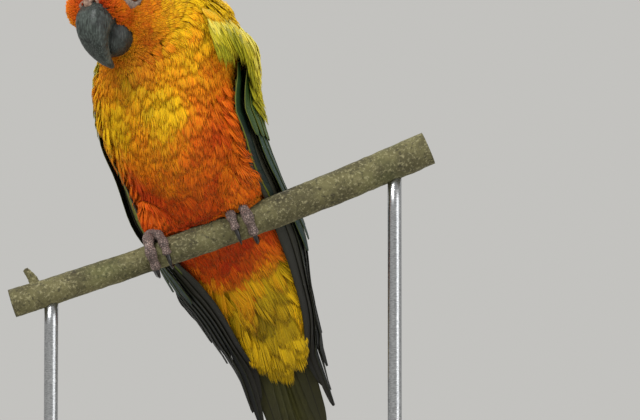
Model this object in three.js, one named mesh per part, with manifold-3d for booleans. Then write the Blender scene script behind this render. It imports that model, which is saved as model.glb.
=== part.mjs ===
// A sun conure, life size, as a still model gripping a short cut branch on a plain display stand.
// Millimetres, +Z up. The underside of the base lies on Z = 0 and the animal's breast faces -Y.
// The animal is built in the grip frame: its origin is on the branch's centreline between the feet.
import * as THREE from "three";
import Module from "manifold-3d";

const wasm = await Module();
wasm.setup();

// Driving dimensions of the display.
const GRIP_HEIGHT = 172; // branch centreline above the floor
const GAP = 0.32; // clearance between touching nodes
const BASE = { width: 168, depth: 112, thickness: 12, corner: 14, bevel: 1.6, centre: [6, 8] };
const ROD_RADIUS = 2.7;
const ROD_PLACES = { right: -59, left: 73 }; // along X
const ROD_SEAT = 8; // how deep a rod stands in the base
const BRANCH = { from: -74, to: 86, rise: 0.37, bend: 0.0004, lift: 1.8 };
const BRANCH_RADII = [5.5, 5.2, 5.0, 5.7, 6.2, 6.3, 6.5]; // from the thin end, every 25 mm

// Driving dimensions of the animal.
const EYE = { radius: 4.6, depth: 3.2, out: 10, forward: 0.4, up: 0.3, lid: 5.5 };
const TOE_RADIUS = 2.05;
const FOOT_PLACES = { right: -17.5, left: 14.5 }; // along the branch
const VANE = { thickness: 0.52, step: 0.95 }; // step is the height from one overlapping feather to the next
const TAIL = { lengths: [135, 126, 114, 100, 84, 66], width: 8.8, spread: 9, rank: 0.88 };

const TAIL_START = 6; // station on the spine
const TAIL_HEIGHT = 0.4; // of the top pair behind the spine
const TAIL_ROOT = { end: 7.35, halfWidth: 11, low: -5.2, high: 1.3 };

// Limits of the mesh: an edge or a face's height below these is mended.
const SHORTEST_EDGE = 0.04;
const NEEDLE_HEIGHT = 0.01;

const V = (x, y, z) => new THREE.Vector3(x, y, z);
const DEG = Math.PI / 180;
const clamp = (x, low, high) => Math.min(high, Math.max(low, x));
const ease = (x) => clamp(x, 0, 1) ** 2 * (3 - 2 * clamp(x, 0, 1));
const mix = (a, b, x) => a + (b - a) * x;
const evenly = (count, make) => Array.from({ length: count }, (_, i) => make(i / (count - 1), i));

// Value at x on a line through evenly spaced values, held flat past both ends.
function along(values, x) {
  const place = clamp(x, 0, values.length - 1);
  const i = Math.min(Math.floor(place), values.length - 2);
  return mix(values[i], values[i + 1], place - i);
}

// Unit axes with x to the animal's left, y forward and z up.
function axesOf(up, forward) {
  const z = up.clone().normalize();
  const x = z.clone().cross(forward).normalize();
  return { x, y: x.clone().cross(z), z };
}

function place(origin, axes, left, forward, up) {
  const flat = origin.clone().addScaledVector(axes.x, left).addScaledVector(axes.y, forward);
  return flat.addScaledVector(axes.z, up);
}

// A smooth curve through points, sampled evenly.
function sampled(points, count) {
  return new THREE.CatmullRomCurve3(points, false, "centripetal").getPoints(count - 1);
}

// Solids from points and faces.
function solidFrom(points, faces) {
  const corner = V(0, 0, 0);
  let volume = 0;
  for (const [a, b, c] of faces) volume += points[a].dot(corner.crossVectors(points[b], points[c]));
  const facing = volume < 0 ? faces.map(([a, b, c]) => [a, c, b]) : faces;
  const vertProperties = new Float32Array(points.flatMap((p) => [p.x, p.y, p.z]));
  const triVerts = new Uint32Array(facing.flat());
  return new wasm.Manifold(new wasm.Mesh({ numProp: 3, vertProperties, triVerts }));
}

// A closed skin over rings of equal length, with a point at each end.
function ringed(start, rings, end) {
  const sides = rings[0].length;
  const points = [start, ...rings.flat(), end];
  const last = points.length - 1;
  const at = (ring, side) => 1 + ring * sides + (side % sides);
  const faces = [];
  for (let s = 0; s < sides; s++) {
    faces.push([0, at(0, s + 1), at(0, s)]);
    faces.push([last, at(rings.length - 1, s), at(rings.length - 1, s + 1)]);
    for (let r = 0; r < rings.length - 1; r++) {
      faces.push([at(r, s), at(r, s + 1), at(r + 1, s + 1)]);
      faces.push([at(r, s), at(r + 1, s + 1), at(r + 1, s)]);
    }
  }
  return solidFrom(points, faces);
}

// A thin sheet between a lower and an upper grid, split into triangles alike on both faces.
function sheetBetween(lower, upper) {
  const rows = lower.length;
  const columns = lower[0].length;
  const points = [...lower.flat(), ...upper.flat()];
  const low = (r, c) => r * columns + c;
  const high = (r, c) => rows * columns + r * columns + c;
  const faces = [];
  for (let r = 0; r < rows - 1; r++) {
    for (let c = 0; c < columns - 1; c++) {
      faces.push([low(r, c), low(r + 1, c + 1), low(r, c + 1)]);
      faces.push([low(r, c), low(r + 1, c), low(r + 1, c + 1)]);
      faces.push([high(r, c), high(r, c + 1), high(r + 1, c + 1)]);
      faces.push([high(r, c), high(r + 1, c + 1), high(r + 1, c)]);
    }
  }
  const rim = [];
  for (let c = 0; c < columns; c++) rim.push([0, c]);
  for (let r = 1; r < rows; r++) rim.push([r, columns - 1]);
  for (let c = columns - 2; c >= 0; c--) rim.push([rows - 1, c]);
  for (let r = rows - 2; r > 0; r--) rim.push([r, 0]);
  rim.forEach(([r, c], i) => {
    const [nr, nc] = rim[(i + 1) % rim.length];
    faces.push([low(r, c), low(nr, nc), high(nr, nc)]);
    faces.push([low(r, c), high(nr, nc), high(r, c)]);
  });
  return solidFrom(points, faces);
}

const unite = (pieces) => pieces.reduce((whole, piece) => whole.add(piece));
const cut = (solid, ...tools) => tools.reduce((left, tool) => left.subtract(tool), solid);
const largest = (solid) => solid.decompose().reduce((a, b) => (a.volume() > b.volume() ? a : b));

// A three.js geometry as a solid, its equal corners merged.
function fromGeometry(geometry) {
  const flat = geometry.index ? geometry.toNonIndexed() : geometry;
  const position = flat.getAttribute("position");
  const points = [];
  const known = new Map();
  const number = [];
  for (let i = 0; i < position.count; i++) {
    const p = new THREE.Vector3().fromBufferAttribute(position, i);
    const key = p.toArray().map((n) => Math.round(n * 1e4)).join();
    if (!known.has(key)) known.set(key, points.push(p) - 1);
    number.push(known.get(key));
  }
  const faces = [];
  for (let i = 0; i < number.length; i += 3) {
    const [a, b, c] = number.slice(i, i + 3);
    if (a !== b && b !== c && c !== a) faces.push([a, b, c]);
  }
  return solidFrom(points, faces);
}

// All the space near the animal on the side of a plane that the direction points to.
function blockBeyond(point, direction) {
  const SIZE = 500;
  const towards = new THREE.Quaternion().setFromUnitVectors(V(0, 0, 1), direction.clone().normalize());
  const block = new THREE.BoxGeometry(SIZE, SIZE, SIZE).translate(0, 0, SIZE / 2);
  return fromGeometry(block.applyQuaternion(towards).translate(point.x, point.y, point.z));
}

// A tube whose round section changes along a path, with rounded ends. widths and heights are half sizes.
function tube(path, across, widths, heights, sides) {
  const rings = path.map((centre, i) => {
    const before = path[Math.max(i - 1, 0)];
    const after = path[Math.min(i + 1, path.length - 1)];
    const forward = after.clone().sub(before).normalize();
    const side = across.clone().addScaledVector(forward, -across.dot(forward)).normalize();
    const up = forward.clone().cross(side);
    return Array.from({ length: sides }, (_, s) => {
      const turn = (s / sides) * 2 * Math.PI;
      const out = centre.clone().addScaledVector(side, Math.cos(turn) * widths[i]);
      return out.addScaledVector(up, Math.sin(turn) * heights[i]);
    });
  });
  const first = path[0].clone().sub(path[1]).normalize();
  const final = path.at(-1).clone().sub(path.at(-2)).normalize();
  const start = path[0].clone().addScaledVector(first, heights[0] * 0.5);
  const end = path.at(-1).clone().addScaledVector(final, heights.at(-1) * 0.5);
  return ringed(start, rings, end);
}

// A ball whose three half sizes lie along the given axes.
function ball(centre, axes, [left, forward, up], rows, sides) {
  const at = (polar, turn) => {
    const flat = Math.sin(polar);
    const [x, y] = [left * Math.sin(turn) * flat, forward * Math.cos(turn) * flat];
    return place(centre, axes, x, y, up * Math.cos(polar));
  };
  const rings = Array.from({ length: rows }, (_, r) =>
    Array.from({ length: sides }, (_, s) =>
      at((Math.PI * (r + 1)) / (rows + 1), (2 * Math.PI * s) / sides)));
  return ringed(at(0, 0), rings, at(Math.PI, 0));
}

// The plumage outline is a smooth field of rounded lumps that flow together.
const BLEND = 7;
const TRUNK_AXES = axesOf(V(-0.4, -0.39, 0.83), V(-0.26, -0.966, 0));
const NECK_AXES = axesOf(V(-0.05, -0.1, 1), V(-0.45, -0.89, 0));
const VENT_AXES = axesOf(V(-0.34, -0.36, 0.87), V(-0.26, -0.966, 0));
const HEAD_AXES = axesOf(V(-0.39, -0.29, 0.87), V(-0.47, -0.75, -0.47));
const HEAD = V(-36, -29, 91); // midway between the eyes

const inHead = (left, forward, up) => place(HEAD, HEAD_AXES, left, forward, up);
const lump = (centre, axes, size) => ({ centre, axes, size }); // sizes run left, forward and up

const NECK_LUMPS = [
  lump(V(-11, -7, 69), NECK_AXES, [23.5, 21, 26]),
  lump(V(-14, -8, 84), NECK_AXES, [19.5, 18, 18]),
  lump(V(-27, -18, 86), NECK_AXES, [15.5, 15, 16]),
  lump(V(-27, -17, 67), NECK_AXES, [12.5, 12, 14]),
];
const TRUNK_LUMPS = [
  lump(V(-9.5, -1, 43), TRUNK_AXES, [25.5, 26, 34]),
  lump(V(-1, 11, 20), TRUNK_AXES, [25.5, 18.5, 29]),
  lump(V(11.5, 23, 0), TRUNK_AXES, [23.5, 14.5, 29]),
  lump(V(22, 26, -22), VENT_AXES, [15.5, 8, 27]),
];
const HEAD_LUMPS = [
  lump(inHead(0, -6, 2.5), HEAD_AXES, [14, 16.5, 15.5]),
  lump(inHead(0, -4, -10.5), HEAD_AXES, [12.5, 10, 10]),
  lump(inHead(0, -13, -4), HEAD_AXES, [15.5, 13.5, 16]),
];
const BODY = [...NECK_LUMPS, ...TRUNK_LUMPS];
const ANIMAL = [...HEAD_LUMPS, ...BODY];

// Roughly the distance from a point to a lump's surface, negative inside.
function lumpDistance(point, { centre, axes, size }) {
  const offset = point.clone().sub(centre);
  const q = [offset.dot(axes.x), offset.dot(axes.y), offset.dot(axes.z)];
  const near = Math.hypot(...q.map((n, i) => n / size[i]));
  const slope = Math.hypot(...q.map((n, i) => n / size[i] ** 2));
  return (near * (near - 1)) / Math.max(slope, 1e-6);
}

function fieldAt(lumps, point) {
  return lumps.reduce((sum, one) => {
    const d = lumpDistance(point, one);
    const overlap = Math.max(BLEND - Math.abs(sum - d), 0) / BLEND;
    return Math.min(sum, d) - (overlap ** 2 * BLEND) / 4;
  }, 1e3);
}

// How far the plumage reaches from a point inside it along a direction, or 0 where it isn't there.
function reachOf(lumps, origin, direction, offset) {
  const FARTHEST = 52;
  const STEP = 2;
  const HALVINGS = 14;
  const height = (r) => fieldAt(lumps, origin.clone().addScaledVector(direction, r)) - offset;
  let outer = 0;
  while (outer < FARTHEST && height(outer) < 0) outer += STEP;
  if (outer === 0) return 0;
  let inner = outer - STEP;
  for (let i = 0; i < HALVINGS; i++) {
    const middle = (inner + outer) / 2;
    if (height(middle) > 0) outer = middle;
    else inner = middle;
  }
  return inner;
}

// The spine runs from the top of the neck through the trunk to the tip of the tail, one knot a station.
const SPINE_KNOTS = [
  V(-14, -6, 112), V(-14, -6.5, 92), V(-12.5, -7, 72), V(-10.5, -3, 50), V(-5, 6, 28), V(6, 18, 8),
  V(17, 28, -12), V(26, 37, -36), V(37, 48, -68), V(48, 62, -103), V(58, 76, -136),
];
const SPINE = new THREE.CatmullRomCurve3(SPINE_KNOTS, false, "centripetal");
const STATIONS = SPINE_KNOTS.length - 1;

function stationAt(station) {
  const share = clamp(station / STATIONS, 0, 1);
  const up = SPINE.getTangent(share).negate();
  return { origin: SPINE.getPoint(share), axes: axesOf(up, TRUNK_AXES.y) };
}

// The station that lies a distance further down the spine.
function stationAfter(from, distance) {
  const STEP = 0.02;
  let station = from;
  let here = stationAt(station).origin;
  for (let gone = 0; gone < distance && station < STATIONS; station += STEP) {
    const next = stationAt(station + STEP).origin;
    gone += next.distanceTo(here);
    here = next;
  }
  return station;
}

// A direction round the spine: 0 is the breast, 90 the left or right side and 180 the back.
function spoke(axes, side, angle) {
  const forward = axes.y.clone().multiplyScalar(Math.cos(angle * DEG));
  return forward.addScaledVector(axes.x, side * Math.sin(angle * DEG));
}

// Neck and trunk as one closed body, its surface moved out by an offset.
function trunkSolid(offset) {
  const RINGS = 28;
  const SIDES = 24;
  const [TOP, END] = [0.06, 7.5];
  const rings = evenly(RINGS, (even) => {
    const crowded = 0.5 - 0.5 * Math.cos(Math.PI * even);
    const { origin, axes } = stationAt(mix(TOP, END, mix(crowded, even, 0.6)));
    return Array.from({ length: SIDES }, (_, s) => {
      const direction = spoke(axes, 1, (s * 360) / SIDES);
      const reach = Math.max(reachOf(ANIMAL, origin, direction, offset), 0.2);
      return origin.clone().addScaledVector(direction, reach);
    });
  });
  const middle = (ring) => ring.reduce((sum, p) => sum.add(p), V(0, 0, 0)).divideScalar(ring.length);
  return ringed(middle(rings[0]), rings, middle(rings.at(-1)));
}

// The head as one closed body round a point inside it, with its poles above and below.
function skullSolid(offset) {
  const ROWS = 16;
  const SIDES = 24;
  const core = inHead(0, -4, -3);
  const ray = (polar, turn) => {
    const flat = Math.sin(polar);
    const [x, y] = [Math.sin(turn) * flat, Math.cos(turn) * flat];
    const direction = place(V(0, 0, 0), HEAD_AXES, x, y, Math.cos(polar));
    return core.clone().addScaledVector(direction, reachOf(ANIMAL, core, direction, offset));
  };
  const rings = Array.from({ length: ROWS }, (_, r) =>
    Array.from({ length: SIDES }, (_, s) =>
      ray((Math.PI * (r + 1)) / (ROWS + 1), (2 * Math.PI * s) / SIDES)));
  return ringed(ray(0, 0), rings, ray(Math.PI, 0));
}

// A block that follows the spine between two stations, from a low to a high distance behind it.
function spineBlock(from, to, halfWidth, low, high) {
  const STEPS = 8;
  const grid = (height) => evenly(STEPS, (share) => {
    const { origin, axes } = stationAt(mix(from, to, share));
    return [-1, 1].map((side) => place(origin, axes, side * halfWidth, -height, 0));
  });
  return sheetBetween(grid(low), grid(high));
}

// The branch rises to the animal's left, and it thickens that way.
const BRANCH_SIDES = 12;
const branchCentre = (x) => V(x, 0, BRANCH.lift + BRANCH.rise * x + BRANCH.bend * x * x);
const branchRadius = (x) => along(BRANCH_RADII, (x + 75) / 25);

function branchFrame(x) {
  const run = branchCentre(x + 1).sub(branchCentre(x - 1)).normalize();
  return { run, up: V(-run.z, 0, run.x) };
}

function branchSolid(offset) {
  const path = evenly(20, (share) => branchCentre(mix(BRANCH.from, BRANCH.to, share)));
  const widths = path.map((p, i) => branchRadius(p.x) + 0.16 * Math.sin(i * 2.1) + offset);
  const heights = path.map((p, i) => branchRadius(p.x) + 0.16 * Math.cos(i * 1.3) + offset);
  return tube(path, V(0, 1, 0), widths, heights, BRANCH_SIDES);
}

// The branch with a broken side shoot near its thin end and a seat for each rod.
function perchSolid() {
  const foot = branchCentre(-64);
  const shoot = sampled([foot, foot.clone().add(V(-2, 0, 6)), foot.clone().add(V(-5, -0.5, 10))], 4);
  const whole = branchSolid(0).add(tube(shoot, V(0, 1, 0), [2.6, 2, 1.5, 1], [2.6, 1.8, 1.4, 0.9], 6));
  return largest(cut(whole, ...Object.values(ROD_PLACES).map((x) => rodSolid(x, GAP))));
}

// Beside the branch: x along it, an angle round it (0 in front, 90 on top, 180 behind) and a height.
const BARK_BUMP = 0.2;
function besideBranch(x, angle, height) {
  const reach = branchRadius(x) + BARK_BUMP + height;
  const raised = branchCentre(x).addScaledVector(branchFrame(x).up, Math.sin(angle * DEG) * reach);
  return raised.add(V(0, -Math.cos(angle * DEG) * reach, 0));
}

// Toes, from their root angle to their tip and on to the claw's point. shift is away from the midline.
const TOES = [
  { name: "inner_front", from: 112, to: -12, claw: -58, shift: [-1.2, -2.9], fat: 0.94 },
  { name: "outer_front", from: 112, to: -42, claw: -84, shift: [1.2, 2.6], fat: 1.06 },
  { name: "inner_back", from: 78, to: 196, claw: 236, shift: [-1.3, -3.4], fat: 0.88 },
  { name: "outer_back", from: 78, to: 218, claw: 262, shift: [1.3, 3.2], fat: 1 },
];

function toeAlong(side, toe, share) {
  const outward = side === "left" ? 1 : -1;
  return FOOT_PLACES[side] + outward * mix(toe.shift[0], toe.shift[1], ease(share * 1.4));
}

// A toe is a row of soft joints that thins a little to its tip.
function toeSolid(side, toe) {
  const STEPS = 9;
  const widths = evenly(STEPS, (share) =>
    TOE_RADIUS * toe.fat * (1 + 0.1 * Math.cos(share * 6 * Math.PI) - 0.16 * share));
  const path = evenly(STEPS, (share, i) =>
    besideBranch(toeAlong(side, toe, share), mix(toe.from, toe.to, share), GAP + widths[i]));
  return tube(path, branchFrame(FOOT_PLACES[side]).run, widths, widths, 7);
}

function clawSolid(side, toe, offset) {
  const STEPS = 6;
  const radius = TOE_RADIUS * toe.fat;
  const tipLift = toe.claw < 0 ? 2.6 : 1.3;
  const lift = (share) => mix(radius * 0.9, tipLift, share) + 0.9 * Math.sin(share * Math.PI);
  const path = evenly(STEPS, (share) =>
    besideBranch(toeAlong(side, toe, 1), mix(toe.to, toe.claw, share), GAP + lift(share)));
  const heights = evenly(STEPS, (share) => mix(1.25, 0.3, share ** 1.3) + offset);
  return tube(path, branchFrame(FOOT_PLACES[side]).run, heights.map((h) => h * 0.85), heights, 6);
}

function footPad(side) {
  const { run, up } = branchFrame(FOOT_PLACES[side]);
  const axes = { x: run, y: V(0, -1, 0), z: up };
  return ball(besideBranch(FOOT_PLACES[side], 94, GAP + 2.2), axes, [3.7, 4.2, 2.5], 5, 10);
}

function footSolid(side) {
  const whole = unite([footPad(side), shankSolid(side, 0), ...TOES.map((toe) => toeSolid(side, toe))]);
  const claws = TOES.map((toe) => clawSolid(side, toe, GAP));
  return largest(cut(whole, ...claws, branchSolid(GAP * 0.8)));
}

// The room that a foot takes beside the branch, as a plain band that the belly is cut clear of.
function footRoom(side) {
  const STEPS = 9;
  const AROUND = [-30, 262];
  const [WIDE, HIGH] = [7.3, 3.5];
  const path = evenly(STEPS, (share) => besideBranch(FOOT_PLACES[side], mix(...AROUND, share), 2.4));
  const { run } = branchFrame(FOOT_PLACES[side]);
  const band = tube(path, run, path.map(() => WIDE), path.map(() => HIGH), 8);
  const top = ball(besideBranch(FOOT_PLACES[side], 97, 3.2), NECK_AXES, [8, 8.5, 6.2], 5, 10);
  return unite([band, top, shankSolid(side, GAP)]);
}

// The shank goes from the top of the foot up and back into the feathered leg.
function shankSolid(side, offset) {
  const ankle = besideBranch(FOOT_PLACES[side], 102, 1.5);
  const heel = ankle.clone().add(V(1.5, 5.5, 11));
  const path = evenly(4, (share) => ankle.clone().lerp(heel, share));
  const widths = [3.1, 2.6, 2.5, 3].map((r) => r + offset);
  return tube(path, V(1, 0, 0), widths, widths.map((w) => w * 0.95), 8);
}

// The feathered legs swell out of the belly just above each foot.
function legSolid(side, hull) {
  const inward = side === "left" ? -1 : 1;
  const knee = besideBranch(FOOT_PLACES[side], 90, 0).add(V(1 + inward * 1.5, 0.5 + inward * 3.5, 8));
  const whole = ball(knee, TRUNK_AXES, [7.5, 7, 9], 8, 14);
  return largest(cut(whole, hull, branchSolid(GAP), footRoom(side)));
}

// The bill. Places are forward of and above the point between the eyes; halves are across and through.
const UPPER_BILL = [
  { at: [3, -3], half: [5.6, 5.5] },
  { at: [9, -3], half: [6.7, 6.6] },
  { at: [13.2, -4.2], half: [6.7, 6.6] },
  { at: [16, -7.2], half: [6, 5.9] },
  { at: [17.4, -11.2], half: [4.8, 4.7] },
  { at: [17.3, -15.4], half: [3.4, 3.3] },
  { at: [16.2, -19.2], half: [2, 2.1] },
  { at: [14.6, -22.4], half: [0.8, 0.9] },
];
const LOWER_BILL = [
  { at: [-3, -11], half: [5.4, 4.5] },
  { at: [1.5, -13.4], half: [6.9, 5.4] },
  { at: [6, -15.2], half: [7, 5.4] },
  { at: [9.8, -15.8], half: [5.6, 4.2] },
  { at: [12.2, -15.4], half: [3.4, 2.6] },
];

function billSolid(stations, offset, steps = stations.length * 2 - 1) {
  const SIDES = 13;
  const path = sampled(stations.map(({ at }) => inHead(0, ...at)), steps);
  const step = (stations.length - 1) / (steps - 1);
  const halves = (k) => path.map((_, i) => along(stations.map((s) => s.half[k]), i * step) + offset);
  return tube(path, HEAD_AXES.x, halves(0), halves(1), SIDES);
}

// The notch in the cutting edge on each side.
const billNotch = (side) => ball(inHead(side * 4.6, 11.6, -14.2), HEAD_AXES, [3, 1.9, 1.3], 5, 10);
const upperBill = () => largest(cut(billSolid(UPPER_BILL, 0), billNotch(1), billNotch(-1)));
const lowerBill = () => largest(cut(billSolid(LOWER_BILL, 0), billSolid(UPPER_BILL, GAP)));

// Eyes lie in shallow pits, each in a raised ring of bare skin that the head carries as lids.
const eyePlace = (side, out) => inHead(side * out, EYE.forward, EYE.up);
const eyeAxes = (side) => axesOf(HEAD_AXES.x.clone().multiplyScalar(side), HEAD_AXES.y);
function eyeSolid(side, offset) {
  const size = [EYE.radius, EYE.radius, EYE.depth].map((half) => half + offset);
  return ball(eyePlace(side, EYE.out), eyeAxes(side), size, 7, 14);
}
const eyePit = (side) => ball(eyePlace(side, EYE.out + 7.4), eyeAxes(side), [7.4, 7.8, 5.6], 5, 14);

function lidRing(side) {
  const [WIDE, DEEP] = [1.25, 1.15];
  const SECTIONS = 14;
  const profile = Array.from({ length: 6 }, (_, i) =>
    new THREE.Vector2(EYE.lid + WIDE * Math.cos(i * 72 * DEG), DEEP * Math.sin(i * 72 * DEG)));
  const ring = new THREE.LatheGeometry(profile, SECTIONS);
  ring.applyQuaternion(new THREE.Quaternion().setFromUnitVectors(V(0, 1, 0), HEAD_AXES.x));
  const centre = eyePlace(side, EYE.out + 2.1);
  return fromGeometry(ring.translate(centre.x, centre.y, centre.z));
}

// The swollen skin over the top of the bill, with a nostril on each side.
const cere = () => ball(inHead(0, 10.6, 2.8), HEAD_AXES, [5.8, 3.4, 2.4], 6, 14);
const nostril = (side) => ball(inHead(side * 3, 13.4, 3), HEAD_AXES, [1, 1.7, 0.8], 4, 8);

// Planes that part the body, each a point and the direction of the side further from the beak.
const NECK_CUT = { point: V(-24, -16, 82), away: V(0.65, 0.52, -0.55).normalize() };
const CHEST_CUT = { point: stationAt(2.8).origin, away: stationAt(2.8).axes.z.clone().negate() };
const RUMP_CUT = { point: stationAt(5.4).origin, away: stationAt(5.4).axes.z.clone().negate() };

// The part of a body that lies past one plane and short of another, half a gap away from both.
function partBetween(body, from, to, gap) {
  let part = body;
  if (from) {
    part = part.intersect(blockBeyond(from.point.clone().addScaledVector(from.away, gap / 2), from.away));
  }
  if (!to) return part;
  const back = to.away.clone().negate();
  return part.intersect(blockBeyond(to.point.clone().addScaledVector(back, gap / 2), back));
}

// The whole plumage moved out by an offset, which the wings and legs are cut clear of.
function hullSolid(offset) {
  const skull = partBetween(skullSolid(offset), null, NECK_CUT, 0);
  return skull.add(partBetween(trunkSolid(offset), NECK_CUT, null, 0));
}

function headSolid() {
  const sides = [1, -1];
  const plumage = cut(partBetween(skullSolid(0), null, NECK_CUT, GAP), ...sides.map(eyePit));
  const whole = unite([plumage, cere(), ...sides.map(lidRing)]);
  const holes = [...sides.map((side) => eyeSolid(side, GAP)), ...sides.map(nostril)];
  const sockets = [UPPER_BILL, LOWER_BILL].map((stations) =>
    billSolid(stations, GAP * 1.3, stations.length));
  return largest(cut(whole, ...holes, ...sockets));
}

// Wings. A place on one is a station down the spine, a distance round from its front edge and a height.
const WINGS = {
  left: {
    side: 1,
    lead: [80, 79, 73, 62, 68, 70, 62, 56, 56, 56, 56], // angle of the front edge at each station
    wide: [10, 10, 10, 12, 18, 21, 20, 18, 17, 15, 15], // how far the sheet stands out where no body does
  },
  right: {
    side: -1,
    lead: [84, 83, 79, 74, 72, 62, 48, 45, 48, 52, 52],
    wide: [10, 10, 10, 12, 18, 27, 29.5, 22, 16.5, 14, 14],
  },
};
const FOLD_SHAPE = [0.3, 0.35, 0.52, 0.93, 1, 0.76, 0.6]; // its reach every 30 degrees, over the widest
const BACK_LINE = 176; // angle that a wing never passes, so that the two stay apart

// The least reach of a folded wing, flat in front and round behind.
const foldReach = ({ wide }, station, angle) => along(wide, station) * along(FOLD_SHAPE, angle / 30);

// The reach that clears the tail and its root, which the wing tips lie beside.
function tailReach(station, angle) {
  if (station < TAIL_START - 0.4) return 0;
  const ROOM = 0.8;
  const across = (TAIL.spread + TAIL.width / 2 + ROOM) / Math.sin(angle * DEG);
  const through = Math.cos(angle * DEG) > 0 ? ROOM - TAIL_ROOT.low : ROOM + TAIL_ROOT.high;
  return Math.min(across, through / Math.abs(Math.cos(angle * DEG)));
}

function onWing(wing, station, angle, height) {
  const SOFT = 5;
  const held = Math.min(angle, BACK_LINE);
  const { origin, axes } = stationAt(station);
  const direction = spoke(axes, wing.side, held);
  const body = reachOf(BODY, origin, direction, GAP * 2);
  const fold = foldReach(wing, station, held);
  const soft = Math.max(SOFT - Math.abs(body - fold), 0) ** 2 / (4 * SOFT);
  const reach = Math.max(Math.max(body, fold) + soft, tailReach(station, held));
  return origin.clone().addScaledVector(direction, reach + height);
}

// The angle that lies a distance round the wing from its front edge.
function angleAfter(wing, station, distance) {
  const STEP = 6;
  let angle = along(wing.lead, station);
  let here = onWing(wing, station, angle, 0);
  let left = distance;
  while (angle < BACK_LINE) {
    const next = onWing(wing, station, angle + STEP, 0);
    const gone = next.distanceTo(here);
    if (left < gone) return angle + (STEP * left) / gone;
    left -= gone;
    angle += STEP;
    here = next;
  }
  return angle;
}

// Stations where a feather has a row of points: whole ones between its ends, and one near its tip.
function featherStations(root, tip) {
  const NEAR_TIP = 0.3;
  const shared = [3.4, 4, 5, 6, 6.5, 7].filter((station) => station > root && station < tip - 0.5);
  return [root, ...shared, tip - NEAR_TIP, tip];
}

function featherWidth(share, point) {
  const root = 0.55 + 0.45 * ease(share / 0.3);
  const taper = 1 - point * ease((share - 0.45) / 0.55);
  const rounding = Math.sqrt(1 - 0.94 * clamp((share - 0.8) / 0.2, 0, 1) ** 2);
  return root * taper * rounding;
}

// One feather on the wing: its front edge lies high and its back edge is tucked under the next one.
const FEATHER = { point: 0.2, dip: 1.2, edges: [-1, 0, 1] };

function wingFeather(wing, feather) {
  const { root, tip, centre, width, height, tilt, point, dip, edges } = { ...FEATHER, ...feather };
  const lower = [];
  const upper = [];
  for (const station of featherStations(root, tip)) {
    const share = (station - root) / (tip - root);
    const half = (width / 2) * featherWidth(share, point);
    const sunk = height - dip * (1 - ease(share / 0.2));
    const row = (thick) => edges.map((edge) => {
      const angle = angleAfter(wing, station, centre(station) + edge * half);
      return onWing(wing, station, angle, sunk - edge * half * tilt(station) + thick * (1 - 0.25 * share));
    });
    lower.push(row(0));
    upper.push(row(VANE.thickness));
  }
  return sheetBetween(lower, upper);
}

const PRIMARY_TIPS = [7.6, 7.85, 7.85, 7.7, 7.45, 7.1, 6.8, 6.5, 6.25];
const PRIMARY_SPACING = [3.2, 3.2, 3.2, 3.2, 3.2, 3, 2.6, 2.1, 1.8, 1.6, 1.6];
const spacingAt = (station) => along(PRIMARY_SPACING, station);

const primaries = (wing) => PRIMARY_TIPS.map((tip, i) => wingFeather(wing, {
  root: 2.6,
  tip,
  centre: (station) => (i + 1.2) * spacingAt(station),
  width: 8,
  height: 1.6,
  tilt: (station) => VANE.step / spacingAt(station),
  point: 0.45,
}));

const secondaries = (wing) => evenly(8, (share) => wingFeather(wing, {
  root: 2.75,
  tip: mix(5.9, 5.35, share) - 0.25 * Math.sin(share * Math.PI),
  centre: (station) => mix(10, 46, share) * mix(1, 0.88, ease((station - 3) / 3)),
  width: 8.4,
  height: 4.2,
  tilt: () => 0.19,
}));

const greaterCoverts = (wing) => evenly(7, (share) => wingFeather(wing, {
  root: 2.6,
  tip: 4.05 - 0.15 * share,
  centre: () => mix(9, 44, share),
  width: 9,
  height: 6.3,
  tilt: () => 0.16,
  edges: [-1, 1],
}));

// The shoulder and the small feathers over it, as one smooth swelling.
function shoulder(wing) {
  const [TOP, END] = [1.75, 3.3];
  const ROUND = 50;
  const grid = (height) => evenly(7, (down) => {
    const station = mix(TOP, END, down);
    return evenly(8, (round) => {
      const angle = angleAfter(wing, station, mix(0, ROUND, round));
      return onWing(wing, station, angle, height(down, round));
    });
  });
  const swell = (down, round) => {
    const length = Math.min(ease(down / 0.4), mix(1, 0.15, ease((down - 0.75) / 0.25)));
    return 0.6 + 6.5 * length * mix(0.3, 1, ease(Math.min(round / 0.3, (1 - round) / 0.25)));
  };
  return sheetBetween(grid(() => -2), grid(swell));
}

function wingSolid(name, hull) {
  const wing = WINGS[name];
  const tiers = [primaries, secondaries, greaterCoverts].flatMap((tier) => tier(wing));
  return largest(cut(unite([shoulder(wing), ...tiers]), hull, branchSolid(GAP)));
}

// The tail: twelve feathers in six pairs, the longest in the middle and on top, from a common root.

function tailFeather(side, rank) {
  const ROWS = 7;
  const MIDLINE = 0.25; // feathers under the top pair stop this far short of the middle
  const from = stationAfter(TAIL_START, 14);
  const to = stationAfter(TAIL_START, TAIL.lengths[rank]);
  const lie = TAIL_HEIGHT - TAIL.rank * (rank === 0 && side > 0 ? 0 : rank + 1);
  const grid = (thick) => evenly(ROWS, (share) => {
    const { origin, axes } = stationAt(mix(from, to, share));
    const half = (TAIL.width / 2) * featherWidth(share, 0.35);
    const centre = mix(0.35, 1, ease(share * 2.5)) * (rank / 5) * TAIL.spread;
    const inner = rank === 0 ? -half : Math.max(centre - half, MIDLINE);
    return [inner, centre + half].map((left) => place(origin, axes, side * left, -(lie + thick), 0));
  });
  return sheetBetween(grid(0), grid(VANE.thickness));
}

// The slot that the tail's root fills, open at its end and behind.
function tailSlot() {
  const { end, halfWidth, low, high } = TAIL_ROOT;
  const ROOM = GAP * 2;
  return spineBlock(TAIL_START - 0.03, end + 0.9, halfWidth + ROOM * 4, low - ROOM, high + 5);
}

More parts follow.
